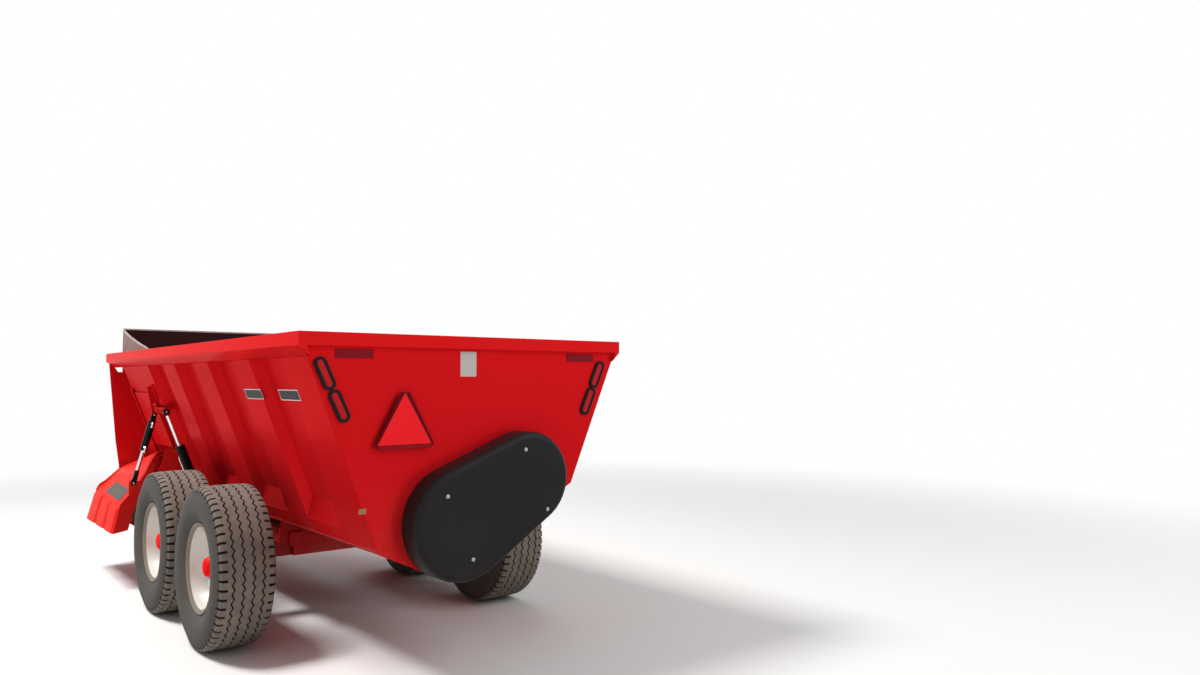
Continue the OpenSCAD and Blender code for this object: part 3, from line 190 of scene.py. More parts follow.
def colour_mix(tree, share, a, b):
    """Mix of two colours, which are sockets or red, green, blue triples, by b's share."""
    n = tree.nodes.new("ShaderNodeMix")
    n.data_type = "RGBA"
    for i, v in ((0, share), (6, a), (7, b)):
        if isinstance(v, tuple):
            n.inputs[i].default_value = (*v, 1.0)
        else:
            tree.links.new(v, n.inputs[i])
    return n.outputs[2]


def axis_of(tree, vector, axis):
    """One of a vector's three numbers: X, Y or Z."""
    n = tree.nodes.new("ShaderNodeSeparateXYZ")
    tree.links.new(vector, n.inputs[0])
    return n.outputs[axis]


# Rounded edges: the small radius of a bend or a cut edge, as a normal
edges, inlet, outlet = effect("rounded_edges", [("Radius", 0.006)], [("Normal", "Vector")])
bend = edges.nodes.new("ShaderNodeBevel")
bend.samples = 4
edges.links.new(inlet["Radius"], bend.inputs["Radius"])
edges.links.new(bend.outputs["Normal"], outlet["Normal"])

# Road dust: thick near the ground and on faces that look up, in cloudy patches
dust, inlet, outlet = effect(
    "road_dust", [("Low", 0.3), ("High", 1.4), ("Amount", 0.5), ("On Top", 0.15)], [("Mask", "Float")])
place = object_place(dust)
facing_up = axis_of(dust, dust.nodes.new("ShaderNodeNewGeometry").outputs["Normal"], "Z")
depth = spread(dust, axis_of(dust, place, "Z"), inlet["High"], inlet["Low"])
clouds = spread(dust, noise(dust, place, 2.3, 6.0, 0.6), 0.32, 0.72)
specks = spread(dust, noise(dust, place, 60.0, 3.0, 0.7), 0.40, 0.75, 0.55, 1.0)
on_top = math_node(dust, "MULTIPLY", spread(dust, facing_up, 0.3, 1.0), inlet["On Top"])
low = math_node(dust, "MULTIPLY", math_node(dust, "MULTIPLY", depth, clouds), inlet["Amount"])
dust.links.new(math_node(dust, "MULTIPLY", math_node(dust, "ADD", low, on_top), specks, True), outlet["Mask"])

# Paint cloud: the slow unevenness of sprayed enamel, as a value about 1, and its fine grain as a height
cloud, inlet, outlet = effect("paint_cloud", [("Scale", 1.2), ("Depth", 0.12)],
                              [("Value", "Float"), ("Height", "Float")])
place = object_place(cloud)
slow = math_node(cloud, "SUBTRACT", noise(cloud, place, inlet["Scale"], 5.0, 0.5), 0.5)
uneven = math_node(cloud, "MULTIPLY", slow, inlet["Depth"])
cloud.links.new(math_node(cloud, "ADD", 1.0, uneven), outlet["Value"])
cloud.links.new(noise(cloud, place, 220.0, 2.0, 0.5), outlet["Height"])


def finish(name, colour, rough, metal=0.0, coat=0.0, radius=0.004, dust_low=0.2, dust_high=1.3,
           dust_amount=0.4, dust_top=0.12, dust_colour=dust_tan, grain=0.03, cloud_depth=0.12,
           specular=0.05, tint=(1.0, 1.0, 1.0), beyond=None):
    """A painted, plated, bare metal or plastic finish, built from the groups above. Beyond a plane
    (a point on it, its direction) the piece has another colour, with its own metal share."""
    m = bpy.data.materials.new(name)
    m.use_nodes = True
    t = m.node_tree
    shader = t.nodes["Principled BSDF"]
    shader.inputs["Metallic"].default_value = metal
    shader.inputs["Coat Weight"].default_value = coat
    shader.inputs["Coat Roughness"].default_value = COAT_ROUGH
    shader.inputs["Specular IOR Level"].default_value = specular
    shader.inputs["Specular Tint"].default_value = (*tint, 1.0)
    e, d, c = [t.nodes.new("ShaderNodeGroup") for _ in range(3)]
    e.node_tree, d.node_tree, c.node_tree = edges, dust, cloud
    e.inputs["Radius"].default_value = radius
    for label, v in (("Low", dust_low), ("High", dust_high), ("Amount", dust_amount), ("On Top", dust_top)):
        d.inputs[label].default_value = v
    c.inputs["Depth"].default_value = cloud_depth
    tone = t.nodes.new("ShaderNodeHueSaturation")
    tone.inputs["Color"].default_value = (*colour, 1.0)
    t.links.new(c.outputs["Value"], tone.inputs["Value"])
    base = tone.outputs["Color"]
    if beyond:
        point, direction, other_colour, other_metal = beyond
        along = t.nodes.new("ShaderNodeVectorMath")
        along.operation = "DOT_PRODUCT"
        t.links.new(object_place(t), along.inputs[0])
        along.inputs[1].default_value = direction
        past = math_node(t, "GREATER_THAN", along.outputs["Value"], point.dot(direction))
        base = colour_mix(t, past, base, other_colour)
        t.links.new(spread(t, past, 0.0, 1.0, metal, other_metal), shader.inputs["Metallic"])
    t.links.new(colour_mix(t, d.outputs["Mask"], base, dust_colour), shader.inputs["Base Color"])
    dusted = min(MOST_ROUGH, rough + DUSTED_ROUGH)
    t.links.new(spread(t, d.outputs["Mask"], 0.0, FULL_DUST, rough, dusted), shader.inputs["Roughness"])
    bump = t.nodes.new("ShaderNodeBump")
    bump.inputs["Strength"].default_value = grain
    bump.inputs["Distance"].default_value = GRAIN_H
    t.links.new(c.outputs["Height"], bump.inputs["Height"])
    t.links.new(e.outputs["Normal"], bump.inputs["Normal"])
    t.links.new(bump.outputs["Normal"], shader.inputs["Normal"])
    return m


def dress(material, *names):
    """Gives CAD nodes their material."""
    for n in names:
        slots = nodes[n].data.materials
        slots.clear()
        slots.append(material)


enamel_gloss = dict(metal=0.25, specular=0.004, tint=(1.0, 0.25, 0.15))
red_enamel = finish("red_enamel", (0.58, 0.008, 0.011), 0.24, radius=0.010, dust_amount=0.22,
                    dust_low=0.3, dust_high=1.3, grain=0.02, **enamel_gloss)
dress(red_enamel, "tank_left_wall", "tank_right_wall", "tank_rear_wall", "tank_front_wall")
# The rim takes a lighter copy of the walls' red: painted light, where the sun lit its face.
rim_enamel_lit = finish("red_enamel_rim_lit", (0.64, 0.010, 0.012), 0.18, metal=0.25, radius=0.006, dust_amount=0.0,
                    dust_top=0.10, grain=0.02, specular=0.008, tint=(1.0, 0.30, 0.24))
dress(rim_enamel_lit, "top_rim")
tank_inside = finish("red_enamel_scoured", (0.46, 0.012, 0.016), 0.42, radius=0.004, dust_amount=0.6,
                     dust_low=0.5, dust_high=1.6, dust_colour=(0.20, 0.13, 0.08))
dress(tank_inside, "trough_floor")

# Plates on the walls: thin films of printed vinyl, left blank, stuck to the paint. Two dark ones with
# a silver edge are on the left side, a white one and a small tan one at the rear.
WALL_RUN, WALL_RISE, FOOT_Y, FOOT_Z, REAR_X = 0.468, 1.200, 0.640, 0.790, -1.515
FILM_T, FILM_GAP, CORNER_STEPS = 0.0006, 0.0001, 4
SIDE_PLATE_L, SIDE_PLATE_H, SIDE_PLATE_S, SIDE_PLATE_EDGE = 0.320, 0.070, 0.965, 0.006
lean = math.atan2(WALL_RUN, WALL_RISE)
wall_foot = MID + Vector((0, FOOT_Y, FOOT_Z))
wall_out = Vector((0, math.cos(lean), -math.sin(lean)))
wall_up = Vector((0, math.sin(lean), math.cos(lean)))
back_x, left_y, up_z = Vector((-1, 0, 0)), Vector((0, 1, 0)), Vector((0, 0, 1))
ROOT = "root"


def piece(name, verts, faces, material, body, smooth=None):
    """A mesh object from its points and faces, riding on a body; smooth is the angle kept sharp."""
    mesh = bpy.data.meshes.new(name)
    mesh.from_pydata([tuple(v) for v in verts], [], faces)
    mesh.validate()
    turned_out = bmesh.new()
    turned_out.from_mesh(mesh)
    bmesh.ops.recalc_face_normals(turned_out, faces=turned_out.faces)
    turned_out.to_mesh(mesh)
    turned_out.free()
    for p in mesh.polygons:
        p.use_smooth = smooth is not None
    if smooth is not None:
        mesh.set_sharp_from_angle(angle=math.radians(smooth))
    mesh.materials.append(material)
    o = bpy.data.objects.new(name, mesh)
    bpy.context.scene.collection.objects.link(o)
    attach(o, body)
    return o


def slab(name, ring, shift, material, body):
    """A flat sheet: the closed outline ring, thickened by shift."""
    n = len(ring)
    verts = list(ring) + [v + shift for v in ring]
    faces = [tuple(range(n, 2 * n)), tuple(reversed(range(n)))]
    faces += [(i, (i + 1) % n, n + (i + 1) % n, n + i) for i in range(n)]
    return piece(name, verts, faces, material, body)


def plate(name, centre, across, up_dir, width, height, thick, corner, material, body):
    """A thin plate with rounded corners; it stands out along across x up_dir."""
    ring = []
    for sx, sy, a0 in ((1, 1, 0), (-1, 1, 90), (-1, -1, 180), (1, -1, 270)):
        for k in range(CORNER_STEPS + 1):
            a = math.radians(a0 + 90 * k / CORNER_STEPS)
            ring.append(centre + across * (sx * (width / 2 - corner) + corner * math.cos(a))
                        + up_dir * (sy * (height / 2 - corner) + corner * math.sin(a)))
    return slab(name, ring, across.cross(up_dir).normalized() * thick, material, body)


def on_wall(x, s, n=0.0004):
    """A point of the left wall: x forward, s up along it, n out of it."""
    return wall_foot + Vector((x, 0, 0)) + wall_up * s + wall_out * n


vinyl_dark = finish("vinyl_dark", (0.02, 0.02, 0.022), 0.35, radius=0.0005, dust_amount=0.1, cloud_depth=0.3)
vinyl_silver = finish("vinyl_silver", (0.50, 0.51, 0.53), 0.32, metal=0.4, radius=0.0005, dust_amount=0.1)
vinyl_white = finish("vinyl_white", (0.46, 0.42, 0.39), 0.50, radius=0.0005, dust_amount=0.1, dust_top=0.0)
vinyl_tan = finish("vinyl_tan", (0.30, 0.19, 0.08), 0.45, radius=0.0005, dust_amount=0.1)
for k, x in enumerate((-0.360, -0.995)):
    mid = on_wall(x, SIDE_PLATE_S)
    plate(f"side_plate_edge_{k}", mid, back_x, wall_up, SIDE_PLATE_L, SIDE_PLATE_H, FILM_T, 0.006,
          vinyl_silver, ROOT)
    plate(f"side_plate_{k}", mid + wall_out * FILM_T, back_x, wall_up, SIDE_PLATE_L - 2 * SIDE_PLATE_EDGE,
          SIDE_PLATE_H - 2 * SIDE_PLATE_EDGE, 0.0004, 0.004, vinyl_dark, ROOT)
rear_face = MID + Vector((REAR_X - FILM_GAP, 0, 0))
for name, y, z, width, height, corner, material in (
        ("rear_label", 0.067, 1.876, 0.114, 0.154, 0.006, vinyl_white),
        ("rear_sticker", 0.754, 1.034, 0.046, 0.030, 0.003, vinyl_tan)):
    plate(name, rear_face + Vector((0, y, z)), -left_y, up_z, width, height, FILM_T, corner, material, ROOT)

# Splash guard: dark belting sheet bolted along the front rim; dust has greyed its top edges, and its outer
# faces are painted lighter grey-brown, partly with dust and partly as painted sunlight.
# A folded strip binds its top edge and the curved edges of its two returns.
RIM_TOP, GUARD_X, GUARD_Y, GUARD_T, GUARD_H = 2.046, 3.501, 1.012, 0.008, 0.255
BIND_W, BIND_T, BIND_IN, BIND_SHORT = 0.014, 0.002, 0.0002, 0.002
# the returns' curved edge: how far back from the guard's sheet, how high over the rim
guard_curve = ((0.012, 0.252), (0.030, 0.238), (0.060, 0.225), (0.150, 0.203), (0.347, 0.156),
               (0.631, 0.098), (0.855, 0.058), (1.028, 0.028))


def side_reach(tree):
    """How far a point is from the machine's middle, to either side."""
    across = math_node(tree, "SUBTRACT", axis_of(tree, object_place(tree), "Y"), MID.y)
    return math_node(tree, "ABSOLUTE", across, 0.0)


def repaint(material, share, colour):
    """Lays another colour over a finish, by its share."""
    t = material.node_tree
    base = t.nodes["Principled BSDF"].inputs["Base Color"]
    t.links.new(colour_mix(t, share, base.links[0].from_socket, colour), base)


guard_sheet = finish("guard_sheet", (0.026, 0.009, 0.009), 0.60, radius=0.002, dust_amount=0.1,
                     dust_top=0.9, grain=0.15, dust_colour=(0.30, 0.25, 0.22))
t = guard_sheet.node_tree
# outer faces: painted lighter, partly dust and partly painted light where the sun fell on them
lit_and_dusty_outside = math_node(t, "GREATER_THAN", side_reach(t), GUARD_Y - 0.002)
mottle = spread(t, noise(t, object_place(t), 9.0, 6.0, 0.6), 0.3, 0.75, 0.75, 1.0)
repaint(guard_sheet, math_node(t, "MULTIPLY", lit_and_dusty_outside, mottle), (0.21, 0.165, 0.145))
dress(guard_sheet, "splash_guard")
guard_binding = finish("guard_binding", (0.42, 0.36, 0.33), 0.55, radius=0.001, dust_amount=0.15, grain=0.1)
for label, face, out in (("left_out", GUARD_Y, 1), ("left_in", GUARD_Y - GUARD_T, -1),
                         ("right_out", -GUARD_Y, -1), ("right_in", -GUARD_Y + GUARD_T, 1)):
    upper = [MID + Vector((GUARD_X - GUARD_T - BIND_IN - d, face, RIM_TOP + h - BIND_IN))
             for d, h in guard_curve]
    lower = [v - up_z * BIND_W for v in upper]
    slab(f"guard_binding_{label}", upper + lower[::-1], left_y * (out * BIND_T), guard_binding, ROOT)
plate("guard_binding_top", MID + Vector((GUARD_X - GUARD_T, 0, RIM_TOP + GUARD_H - BIND_W / 2 - BIND_IN)),
      -left_y, up_z, 2 * (GUARD_Y - GUARD_T - BIND_T) - BIND_SHORT, BIND_W, BIND_T, 0.002, guard_binding,
      ROOT)

# Rear drive cover: one black moulded plastic shell over the augers' chain, with a fine grain,
# held by four zinc bolts on washers. The front drive cover is moulded of the same plastic.
COVER_DEPTH, COVER_LIFT, COVER_BOLT = 0.170, 0.020, 0.012
# rows of (radius, height) as shares of a bolt's width across flats; a head's radius is to its corners
WASHER_ROWS, HEAD_ROWS = ((0.98, 0.0), (0.98, 0.10), (0.92, 0.13)), ((1.0, 0.117), (1.0, 0.63), (0.90, 0.73))
moulded_black = finish("moulded_black", (0.0115, 0.0100, 0.0105), 0.48, radius=0.004, dust_amount=0.12,
                       dust_high=1.5, dust_top=0.06, grain=0.12, cloud_depth=0.30,
                       dust_colour=(0.10, 0.075, 0.06), specular=0.12)
dress(moulded_black, "rear_drive_cover", "front_drive_cover")
zinc = finish("zinc_plate", (0.46, 0.46, 0.45), 0.36, metal=0.8, radius=0.0008, dust_amount=0.3, dust_top=0.1)


def turned(name, profile, places, material, body, sides=32, smooth=30, twist=0.0):
    """Round (or six-sided) pieces: rows of (radius, height) turned about each place's outward direction.
    Each piece is twisted a little further than the last."""
    verts, faces = [], []
    for k, (place, out) in enumerate(places):
        side = out.orthogonal().normalized()
        other = out.cross(side)
        start = len(verts)
        for r, h in profile:
            for i in range(sides):
                a = 2 * math.pi * i / sides + twist * k
                verts.append(place + out * h + side * (r * math.cos(a)) + other * (r * math.sin(a)))
        for i in range(len(profile) - 1):
            for j in range(sides):
                a, b = start + i * sides + j, start + i * sides + (j + 1) % sides
                faces.append((a, b, b + sides, a + sides))
        last = start + (len(profile) - 1) * sides
        faces.append(tuple(range(last, last + sides)))
        faces.append(tuple(reversed(range(start, start + sides))))
    return piece(name, verts, faces, material, body, smooth)


def hex_bolts(name, places, across, body, material=zinc):
    """Bolt heads, or nuts, with chamfered corners on washers. Each place is (point, outward direction)."""
    corner_r = across / math.sqrt(3)
    washer = [(across * r, across * h) for r, h in WASHER_ROWS]
    turned(name + "_washers", washer, places, material, body, 24)
    head = [(corner_r * r, across * h) for r, h in HEAD_ROWS]
    turned(name, head, places, material, body, 6, 20, 0.7)


cover_face = MID + Vector((REAR_X - COVER_DEPTH, 0, COVER_LIFT))
cover_bolt_spots = ((0.302, 1.077), (0.127, 0.691), (-0.251, 1.322), (-0.42, 0.937))
hex_bolts("cover_bolts", [(cover_face + Vector((0, y, z)), back_x) for y, z in cover_bolt_spots],
          COVER_BOLT, ROOT)

# Tail lamps: oval sealed lamps with red plastic lenses, two on each side, one above the other.
# Each is pressed into a black rubber grommet, whose lip stands round the lens.
LAMP_L, LAMP_W, LENS_GAP, LAMP_TILT, HALF_STEPS = 0.199, 0.072, 0.018, 25, 12
lens_red = finish("lens_red", (0.44, 0.008, 0.012), 0.14, coat=0.10, radius=0.004, dust_amount=0.0,
                  dust_top=0.0, cloud_depth=0.4)
rubber_black = finish("rubber_black", (0.014, 0.013, 0.014), 0.5, radius=0.004, dust_amount=0.1, grain=0.06)
dress(lens_red, "tail_lamps")
dress(rubber_black, "lamp_grommets")


def lamp_outline(length, width):
    """Outline of an oval lamp: two half circles and straight sides, along z and y."""
    r, straight, ring = width / 2, (length - width) / 2, []
    for turn_from, shift in ((0, straight), (180, -straight)):
        for i in range(HALF_STEPS + 1):
            a = math.radians(turn_from + 180 * i / HALF_STEPS)
            ring.append((r * math.cos(a), shift + r * math.sin(a)))
    return ring


def oval_ring(name, rows, places, material):
    """Oval rings: each row is (how much smaller than the lamp, height out of the wall)."""
    verts, faces = [], []
    for (y, z), tilt in places:
        turn = Matrix.Rotation(math.radians(tilt), 3, "X")
        start = len(verts)
        for less, h in rows:
            for v, w in lamp_outline(LAMP_L - less, LAMP_W - less):
                verts.append(MID + Vector((REAR_X - h, y, z)) + turn @ Vector((0, v, w)))
        n = (len(verts) - start) // len(rows)
        for i in range(len(rows)):
            for k in range(n):
                a, b = start + i * n + k, start + i * n + (k + 1) % n
                c = start + ((i + 1) % len(rows)) * n
                faces.append((a, b, c + (k + 1) % n, c + k))
    return piece(name, verts, faces, material, ROOT, 40)


lamp_places = [((0.9899, 1.815), -LAMP_TILT), ((0.9029, 1.633), -LAMP_TILT),
               ((-0.9583, 1.815), LAMP_TILT), ((-0.8781, 1.633), LAMP_TILT)]
lip_rows = [(LENS_GAP - 0.003, 0.0118), (LENS_GAP - 0.003, 0.0152), (LENS_GAP + 0.010, 0.0160),
            (LENS_GAP + 0.018, 0.0140), (LENS_GAP + 0.018, 0.0118)]
oval_ring("lamp_grommet_lips", lip_rows, lamp_places, rubber_black)

# Reflector strips: dark red prismatic tape with a pebbled face, stuck flat on the rear wall
# under both ends of the rim.
tape_red = finish("tape_red", (0.20, 0.004, 0.010), 0.28, coat=0.05, radius=0.001, dust_amount=0.0,
                  grain=0.25)
dress(tape_red, "rear_reflectors")

# Slow-vehicle emblem: a plate with cut corners on a bracket, under a dark red reflective film
# with a bright fluorescent triangle on it.
EMBLEM_OUT, EMBLEM_FILM_T = 0.036, 0.0004
emblem_glow = finish("emblem_fluorescent", (0.84, 0.014, 0.020), 0.42, radius=0.001, dust_amount=0.0,
                     cloud_depth=0.04)
emblem_dark = finish("emblem_border", (0.105, 0.003, 0.006), 0.34, radius=0.001, dust_amount=0.0, grain=0.2)
emblem_foot_red = finish("emblem_foot_band", (0.27, 0.005, 0.011), 0.34, radius=0.001, dust_amount=0.0,
                         grain=0.2)
dress(emblem_dark, "slow_emblem")
emblem_at = MID + Vector((REAR_X - EMBLEM_OUT, 0.510, 1.376))
foot_band = ((0.157, 0.002), (-0.157, 0.002), (-0.172, 0.0235), (0.172, 0.0235))
triangle = ((0.174, 0.026), (-0.170, 0.026), (0.0045, 0.3300))
for label, outline, lift, material in (("foot_band", foot_band, 0.0003, emblem_foot_red),
                                       ("middle", triangle, 0.0005, emblem_glow)):
    slab("emblem_" + label, [emblem_at + Vector((-lift, y, z)) for y, z in outline], back_x * EMBLEM_FILM_T,
         material, ROOT)

# Wheels: 385/65R22.5 tyres on silver steel disc wheels, ten nuts each, with red hub caps. The tread has
# four zigzag grooves and notched shoulders; its top is pale with dust, and the grooves and notches are
# painted darker than the bare rubber, as painted shade.
TYRE_R, AXLE_GAP, TRACK_HALF = 0.536, 1.244, 1.051
NUTS, NUT_CIRCLE, NUT_OUT, NUT_ACROSS = 10, 0.104, 0.0600, 0.026
PERIODS, GROOVE_W, GROOVE_D, GROOVE_SLOPE, ZIG = 56, 0.0115, 0.0125, 0.0012, 0.0080
NOTCH_D, NOTCH_PART, TREAD_HALF, CROWN_DROP, CROWN_POWER = 0.016, 0.13, 0.150, 0.0045, 2.4
FLANGE_FROM, FLANGE_TO = 1.190, 1.197
steps_in_period = (0.0, 0.12, 0.15, 0.25, 0.5, 0.75, 0.85, 0.88)
groove_mid = (-0.093, -0.031, 0.031, 0.093)
# one side of the casing from the bead outwards: radius, distance from the tyre's middle
casing = [(0.279, 0.118), (0.2995, 0.150), (0.312, 0.160), (0.340, 0.178), (0.352, 0.1805), (0.362, 0.1865),
          (0.385, 0.191), (0.425, 0.1945), (0.465, 0.190), (0.492, 0.179)]


def zig(part):
    """Sideways shift of the grooves along a period, from -1 to 1."""
    part = part % 1.0
    return 4 * part - 1 if part < 0.5 else 3 - 4 * part


def crown(y):
    """The tread's radius at y: slightly crowned."""
    return TYRE_R - CROWN_DROP * (abs(y) / TREAD_HALF) ** CROWN_POWER


# the shoulder from the casing inwards: radius, distance from the middle, the shares of a notch's depth
# that both lose in a notch, how dusty it is (a notch sets this to 0, which paints it dark as painted shade)
shoulder = ((0.503, 0.1745, 0.3, 0.5, 0.5), (0.5245, 0.1665, 1.0, 0.7, 1.0),
            (crown(TREAD_HALF), TREAD_HALF, 1.1, 0.0, 1.0), (crown(0.128), 0.128, 1.0, 0.0, 1.0))
tyre_verts, tyre_faces, tyre_dust_and_shade = [], [], []
count = PERIODS * len(steps_in_period)
for k in range(count):
    period, step = divmod(k, len(steps_in_period))
    part = steps_in_period[step]
    angle = 2 * math.pi * (period + part) / PERIODS
    notch = part < NOTCH_PART or part > 1 - NOTCH_PART
    shift = ZIG * zig(part)
    dip = NOTCH_D if notch else 0.0
    block = 0.0 if notch else 1.0
    # each point: radius, distance from the middle, how dusty it is (1 on the tread; 0 in a groove or notch,
    # which is painted darker than the bare rubber as painted shade)
    flank = [(r, y, 0.5) for r, y in casing]
    flank += [(r - dip * r_share, y - dip * y_share, w * block) for r, y, r_share, y_share, w in shoulder]
    flank.append((crown(0.126), 0.126, 1.0))
    ring = list(flank)
    for g in reversed(groove_mid):
        for dy, deep in ((GROOVE_W / 2, 0), (GROOVE_W / 2 - GROOVE_SLOPE, GROOVE_D),
                         (-GROOVE_W / 2 + GROOVE_SLOPE, GROOVE_D), (-GROOVE_W / 2, 0)):
            ring.append((crown(g) - deep, g + dy + shift, 0.0 if deep else 1.0))
    ring += [(r, -y, w) for r, y, w in reversed(flank)]
    per_ring = len(ring)
    tyre_verts += [(r * math.cos(angle), y, r * math.sin(angle)) for r, y, w in ring]
    tyre_dust_and_shade += [w for r, y, w in ring]
for k in range(count):
    a, b = k * per_ring, ((k + 1) % count) * per_ring
    for i in range(per_ring - 1):
        tyre_faces.append((a + i, a + i + 1, b + i + 1, b + i))
    tyre_faces.append((a + per_ring - 1, a, b, b + per_ring - 1))

tyre_rubber = bpy.data.materials.new("tyre_rubber")
tyre_rubber.use_nodes = True
t = tyre_rubber.node_tree
shader = t.nodes["Principled BSDF"]
shader.inputs["Specular IOR Level"].default_value = 0.18
place = object_place(t)
dust_and_shade = t.nodes.new("ShaderNodeAttribute")
dust_and_shade.attribute_name = "dust_and_shade"
radius = math_node(t, "POWER", math_node(t, "ADD", math_node(t, "POWER", axis_of(t, place, "X"), 2.0),
                                         math_node(t, "POWER", axis_of(t, place, "Z"), 2.0)), 0.5)
patch = spread(t, noise(t, place, 7.0, 6.0, 0.65), 0.30, 0.72)
fine = spread(t, noise(t, place, 90.0, 4.0, 0.7), 0.35, 0.70, 0.7, 1.0)
on_tread = spread(t, dust_and_shade.outputs["Fac"], 0.55, 0.95)
groove_painted_shade = spread(t, dust_and_shade.outputs["Fac"], 0.40, 0.05)
tread_patch = spread(t, patch, 0.0, 1.0, 0.72, 1.0)
tread_dust = math_node(t, "MULTIPLY", math_node(t, "MULTIPLY", on_tread, tread_patch), fine)
side_patch = spread(t, noise(t, place, 3.0, 5.0, 0.6), 0.25, 0.75, 0.45, 0.80)
side_dust = math_node(t, "MULTIPLY", math_node(t, "MULTIPLY", side_patch, fine),
                      spread(t, radius, 0.515, 0.30, 0.75, 1.0))
base = colour_mix(t, side_dust, (0.026, 0.025, 0.025), (0.112, 0.098, 0.085))
base = colour_mix(t, tread_dust, base, (0.225, 0.188, 0.155))
# grooves and notches: painted shade, darker than the bare rubber
base = colour_mix(t, groove_painted_shade, base, (0.012, 0.010, 0.009))
t.links.new(base, shader.inputs["Base Color"])
all_dust = math_node(t, "ADD", tread_dust, side_dust)
t.links.new(spread(t, all_dust, 0.0, 0.8, 0.55, 0.92), shader.inputs["Roughness"])
rings = t.nodes.new("ShaderNodeTexWave")
rings.wave_type = "RINGS"
rings.rings_direction = "Y"
rings.inputs["Scale"].default_value = 26.0
t.links.new(place, rings.inputs["Vector"])
ribs = math_node(t, "MULTIPLY", rings.outputs["Fac"], spread(t, radius, 0.50, 0.47, 0.0, 0.35))
pores = math_node(t, "MULTIPLY", noise(t, place, 160.0, 3.0, 0.6), 0.7)
bump = t.nodes.new("ShaderNodeBump")
bump.inputs["Strength"].default_value = 0.25
bump.inputs["Distance"].default_value = 0.002
t.links.new(math_node(t, "ADD", ribs, pores), bump.inputs["Height"])
t.links.new(bump.outputs["Normal"], shader.inputs["Normal"])

# The disc is silver, and is painted tan and darker towards its top, as painted shade of the dish's upper
# part; the flange behind it is dull with dried mud
wheel_silver = finish("wheel_silver", (0.76, 0.73, 0.69), 0.38, metal=0.50, radius=0.001, grain=0.0,
                      dust_low=0.85, dust_high=0.45, dust_amount=0.75, dust_top=0.0, cloud_depth=0.10,
                      dust_colour=(0.27, 0.20, 0.14))
t = wheel_silver.node_tree
flange = spread(t, side_reach(t), FLANGE_FROM, FLANGE_TO)
repaint(wheel_silver, flange, (0.20, 0.165, 0.13))
t.links.new(spread(t, flange, 0.0, 1.0, 0.5, 0.1), t.nodes["Principled BSDF"].inputs["Metallic"])
hub_red = finish("hub_red", (0.78, 0.010, 0.014), 0.28, radius=0.004, dust_amount=0.15, dust_high=0.9,
                 **enamel_gloss)
for end, x in (("front", AXLE_GAP), ("rear", 0.0)):
    for side, s in (("left", 1), ("right", -1)):
        wheel = f"{end}_{side}"
        centre = MID + Vector((x, s * TRACK_HALF, TYRE_R))
        tyre = bpy.data.objects.new("tread_tyre_" + wheel, bpy.data.meshes.new("tread_tyre_" + wheel))
        tyre.data.from_pydata(tyre_verts, [], tyre_faces)
        for p in tyre.data.polygons:
            p.use_smooth = True
        tyre.data.set_sharp_from_angle(angle=math.radians(38))
        dust_and_shade_layer = tyre.data.attributes.new("dust_and_shade", "FLOAT", "POINT")
        dust_and_shade_layer.data.foreach_set("value", tyre_dust_and_shade)
        tyre.data.materials.append(tyre_rubber)
        bpy.context.scene.collection.objects.link(tyre)
        tyre.location = centre
        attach(tyre, "wheel_" + wheel)
        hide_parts("tyre_" + wheel)
        dress(wheel_silver, "rim_" + wheel)
        dress(hub_red, "hub_" + wheel)
        out = Vector((0, s, 0))
        nuts = []
        for k in range(NUTS):
            a = 2 * math.pi * (k + 0.5) / NUTS
            nuts.append((centre + out * NUT_OUT + Vector((math.cos(a), 0, math.sin(a))) * NUT_CIRCLE, out))
        hex_bolts("wheel_nuts_" + wheel, nuts, NUT_ACROSS, "wheel_" + wheel, zinc)

# Running gear and frame: welded steel box sections under the trough, with the axle, walking beams,
# drawbar and jack. They are painted with the tank, in a duller coat that is dusty all over.
red_low = finish("red_enamel_low", (0.46, 0.010, 0.014), 0.38, radius=0.005, dust_low=0.1, dust_high=0.9,
                 dust_amount=0.5, dust_top=0.30)
dress(red_low, "chassis_frame", "floor_saddles", "axle_beam", "walking_beams", "drawbar", "jack_tube")

# Discharge: housing, gate and hood of folded and welded steel sheet, painted red. The hood hangs on
# pins, and carries a blank grey plate, bent with it, on its two slopes.
HINGE, HOOD_L = Vector((2.200, 0.87495, 1.15025)), 1.200
PLATE_TOP, PLATE_DOWN, PLATE_REAR, PLATE_LONG = 0.60, 1.22, 0.10, 0.58
PLATE_LIFT, PLATE_BACK = 0.0022, 0.0006
# rows down the hood from its hinge: (out, up) at its rear end, then at its front end
hood_rows = (((0.245, -0.270), (0.205, -0.280)), ((0.315, -0.355), (0.262, -0.338)),
             ((0.375, -0.428), (0.335, -0.400)), ((0.420, -0.670), (0.405, -0.680)))
# The hood and the housing take a lighter copy of the tank's red: painted light, where the sun lit their
# slopes.
red_hood_lit = finish("red_enamel_hood_lit", (0.70, 0.018, 0.014), 0.24, radius=0.003, dust_amount=0.15,
                  dust_low=0.3, dust_high=1.2, dust_top=0.04, **enamel_gloss)
dress(red_hood_lit, "hood", "expeller_housing")
dress(red_enamel, "gate_plate", "gate_guides", "hood_bracket")


def on_hood(i, k, lift):
    """A point of the hood: i down its two slopes and the lip below them, k along it, lifted off it.
    Each strip between two rows is two flat triangles, as in the solid."""
    j = min(int(i), 2)
    u = i - j
    (rear_up, front_up), (rear_low, front_low) = [
        [Vector((x, y, z)) for x, (y, z) in zip((0.0, HOOD_L), hood_rows[row])] for row in (j, j + 1)]
    if u >= k:
        down, along = rear_low - rear_up, front_low - rear_low
        place = rear_up + down * u + along * k
    else:
        down, along = front_low - front_up, front_up - rear_up
        place = rear_up + along * k + down * u
    out = along.cross(down).normalized()
    return MID + HINGE + place + out * (lift if out.y > 0 else -lift)


